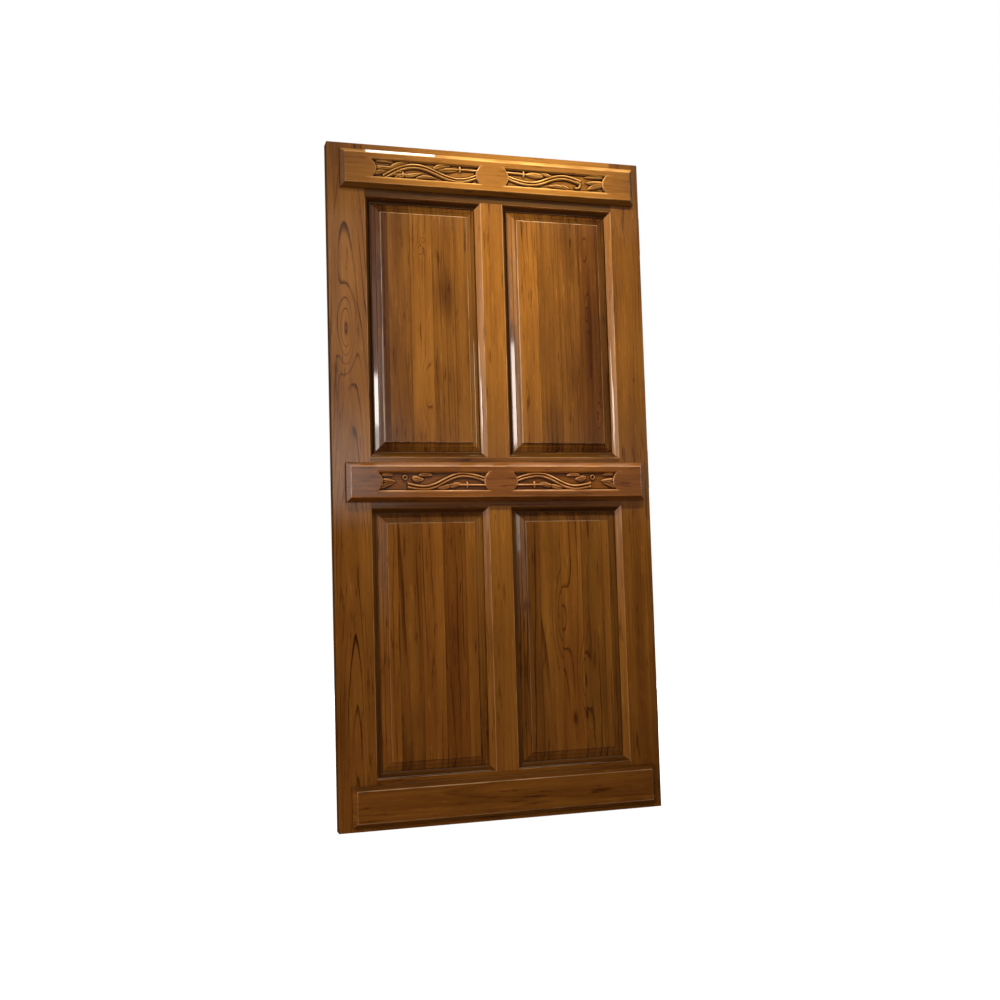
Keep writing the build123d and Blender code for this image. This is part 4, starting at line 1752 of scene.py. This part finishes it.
SLENDER_VINE = Vine(
    foot=(-0.24, 0.20),
    crest=(-0.09, 0.34),
    trough=(0.26, -0.36),
    inner=(0.52, 0.02),
    leaves=(
        (-0.48, 0.34, -0.36, 0.08, 0.30, -0.05),
        (-0.47, -0.10, -0.34, -0.02, 0.34, 0.05),
        (-0.47, -0.38, -0.36, -0.34, 0.26, -0.04),
        (-0.20, -0.22, -0.09, -0.12, 0.40, 0.04),
        (-0.14, -0.34, -0.01, -0.32, 0.28, -0.05),
        (0.03, 0.38, 0.16, 0.16, 0.36, 0.05),
        (0.14, 0.30, 0.26, 0.14, 0.32, -0.05),
    ),
    twigs=((0.15, 0.18, 0.51, 0.20),),
    nodes=((0.30, 0.19),),
    rings=((-0.26, -0.22),),
)


@dataclass
class TempleDoor:
    """The whole leaf: solids that keep their shape with a better finish, and pieces worked out here."""

    openings: tuple[str, ...] = ("lower_left", "lower_right", "upper_left", "upper_right")
    member_arris: float = 0.0012
    panel_tilt: float = 0.016
    # Painted shade on faces that look up.
    ledge: float = 0.55
    strip_tone: float = -0.06
    # Painted light: the strips that face left are lighter.
    hinge_strip_tone: float = 0.12
    groups: dict[str, bpy.types.NodeTree] = field(default_factory=dict)

    def member(self, node: str, grain: Grain, *traits: float, **more: object) -> TeakFinish:
        """Finish of one member of the frame: pith, depth, tilt, pitch, figure and tone, then any more."""
        return TeakFinish(f"{node}_teak", grain, *traits, arris=self.member_arris, **more)

    def frame_finishes(self) -> dict[str, TeakFinish]:
        """Finish of each member of the frame.

        Returns:
            Finishes by node.
        """
        knot = Knot(-0.478, 1.535, 0.024, 0.115, 4.6)
        heart = Knot(-0.478, 1.535, 0.009, 0.03, 2.2)
        # Painted shadow on the top rail under the top board.
        under_board = Shade(1.985, 2.0, 0.8)
        lock_stile = (-0.470, 0.0215, 0.035, 0.0075, 1.3, 0.06)
        top_rail = (-1.90, 0.08, 0.03, 0.010, 0.6, 0.25)
        finishes = (
            self.member("lock_stile", Grain.UPRIGHT, *lock_stile, knots=(knot,), smudges=(heart,)),
            self.member("hinge_stile", Grain.UPRIGHT, 0.30, 0.10, 0.01, 0.010, 0.6, -0.05),
            self.member("top_rail", Grain.LEVEL, *top_rail, shade=under_board),
            self.member("lock_rail", Grain.LEVEL, -0.95, 0.07, 0.03, 0.010, 0.6, -0.14),
            self.member("bottom_rail", Grain.LEVEL, 0.05, 0.07, 0.03, 0.010, 0.6),
            self.member("upper_muntin", Grain.UPRIGHT, 0.25, 0.12, 0.01, 0.012, 0.35),
            self.member("lower_muntin", Grain.UPRIGHT, -0.2, 0.10, 0.02, 0.012, 0.45, 0.10),
        )
        return {finish.name.removesuffix("_teak"): finish for finish in finishes}

    def panel(self, opening: str, pith: float, tone: float, staves: Staves, **more: object) -> TeakFinish:
        """Finish of one panel: what its row shares, and what is its own.

        Args:
            opening: Name of its opening.
            pith, tone: Place of the pith across, and the tone.
            staves: Boards that it is glued from.
            more: Other fields of the finish.

        Returns:
            The finish.
        """
        shared = {"tilt": self.panel_tilt, "recess": True, "ledge": self.ledge}
        shared |= PANEL_ROWS[Opening(opening).row]
        name = f"{opening}_panel_teak"
        return TeakFinish(name, Grain.UPRIGHT, pith, tone=tone, staves=staves, **shared, **more)

    def panel_finishes(self) -> dict[str, TeakFinish]:
        """Finish of each panel.

        Returns:
            Finishes by opening.
        """
        arches = (
            Knot(-0.224, 1.36, 0.016, 0.085, 2.0),
            Knot(-0.228, 1.835, 0.010, 0.016, 1.8),
            Knot(-0.240, 1.800, 0.011, 0.016, 1.6),
        )
        lenses = (
            Knot(0.320, 1.613, 0.012, 0.065, 2.4),
            Knot(0.348, 1.277, 0.012, 0.050, 2.4),
            Knot(0.318, 1.832, 0.010, 0.050, 1.8),
        )
        waves = (Knot(0.20, 0.62, 0.025, 0.12, 2.6), Knot(0.27, 0.42, 0.020, 0.10, 2.2))
        spots = (Knot(0.236, 0.30, 0.007, 0.020, 6.0), Knot(0.276, 0.31, 0.005, 0.016, 5.0))
        cloud = (Knot(-0.155, 1.66, 0.035, 0.07),)
        stripe = (Knot(0.33, 1.55, 0.012, 0.22),)
        quiet = Staves(0.130, 21.0, contrast=0.16)
        leaning = {"knots": lenses, "smudges": stripe, "lean": -0.9}
        finishes = {
            "upper_left": (-0.2, -0.14, Staves(-0.342, 5.0), {"knots": arches, "smudges": cloud}),
            "upper_right": (0.2, -0.20, Staves(0.228, 8.0), leaning),
            "lower_left": (-0.2, -0.06, Staves(-0.330, 14.0), {}),
            "lower_right": (0.2, 0.0, quiet, {"knots": waves, "smudges": spots}),
        }
        return {
            opening: self.panel(opening, pith, tone, staves, **more)
            for opening, (pith, tone, staves, more) in finishes.items()
        }

    def strip_finishes(self) -> dict[str, TeakFinish]:
        """Finish of the moulding along each side of an opening.

        Returns:
            Finishes by row and side.
        """
        return {
            f"{row}_{side}": TeakFinish(
                f"{row}_{side}_strip_teak",
                Grain.LEVEL if side in ("sill", "head") else Grain.UPRIGHT,
                pith=0.4,
                depth=0.2,
                tilt=0.0,
                pitch=0.012,
                figure=0.4,
                tone=self.hinge_strip_tone if side == "hinge_side" else self.strip_tone,
                recess=True,
                recess_shade=recess_shade,
                ledge=self.ledge,
                wear_and_highlight=0.5,
            )
            for row, sides in STRIP_SHADES.items()
            for side, recess_shade in sides.items()
        }

    def board_finish(self, name: str, pith: float, **more: object) -> TeakFinish:
        """Finish of one board: what all boards share, and what is its own."""
        shared = {"depth": 0.12, "tilt": 0.02, "pitch": 0.014, "figure": 0.3, "recess": True}
        return TeakFinish(f"{name}_board_teak", Grain.LEVEL, pith, **shared, **more)

    def boards(self) -> tuple[tuple[CarvedBoard, TeakFinish], ...]:
        """Each board with its finish.

        Returns:
            Boards and finishes, from the top down.
        """
        top = CarvedBoard(
            "top_carved_board",
            "top_vine_board",
            Design.RISING,
            right_vine=HOOKED_VINE,
            upper_chamfer_highlight=0.55,
            end_wear_highlight=0.15,
        )
        middle = CarvedBoard(
            "middle_carved_board", "middle_vine_board", Design.FALLING, SLENDER_VINE, upper_chamfer_highlight=0.10
        )
        bottom = CarvedBoard("bottom_board", "plain_bottom_board", Design.PLAIN, end_wear_highlight=0.3)
        # Painted shade and wear with painted highlight for each board.
        top_shade_and_highlight = {"recess_shade": 0.95, "ends": 0.45, "under": 0.55, "wear_and_highlight": 0.95, "wear_highlight_tint": GOLD_WEAR_HIGHLIGHT}
        middle_shade_and_highlight = {"recess_shade": 0.80, "ledge": 0.2, "under": 0.3, "wear_and_highlight": 0.85, "wear_highlight_tint": UMBER_WEAR_HIGHLIGHT}
        plain = {"ledge": 0.3, "under": 0.3, "wear_and_highlight": 0.85}
        return (
            (top, self.board_finish("top", -2.2, tone=0.10, **top_shade_and_highlight)),
            (middle, self.board_finish("middle", -1.2, tone=-0.06, redness=0.6, **middle_shade_and_highlight)),
            (bottom, self.board_finish("bottom", 0.1, tone=-0.08, **plain)),
        )

    def dress_node(self, node: str, material: bpy.types.Material) -> None:
        """Gives a solid a better finish and keeps its shape.

        Args:
            node: Name of the solid.
            material: Its finish.
        """
        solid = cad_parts[node]
        solid.data.materials.clear()
        solid.data.materials.append(material)
        LOG.info("%s: finish %s", node, material.name)

    def build(self) -> None:
        """Makes and dresses every piece."""
        self.groups = {"teak": TeakFigure().group(), "staves": stave_group(), "knot": knot_group()}
        for node, finish in self.frame_finishes().items():
            self.dress_node(node, finish.material(self.groups))
        strips = {side: finish.material(self.groups) for side, finish in self.strip_finishes().items()}
        panel_finishes = self.panel_finishes()
        for name in self.openings:
            opening = Opening(name)
            panel = FieldedPanel(opening).build(panel_finishes[name].material(self.groups))
            settle(panel, BODY, "panel_teak", f"{name}_panel")
            MouldingFrame(opening).build(strips)
        for board, finish in self.boards():
            settle(board.build(finish.material(self.groups)), BODY, "board_teak", board.node)
        hinge = BrassFinish("hinge_brass").material()
        screw = BrassFinish("screw_brass", SCREW_BRIGHT).material()
        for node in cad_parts:
            if "_hinge_" in node and "moulding" not in node:
                self.dress_node(node, hinge)
        for node in ("board_screws", "hinge_screws"):
            self.dress_node(node, screw)


def main() -> None:
    """Builds the door and its stage."""
    logging.basicConfig(level=logging.INFO, format="%(message)s")
    TempleDoor().build()
    Studio().build()


if __name__ == "__main__":
    main()
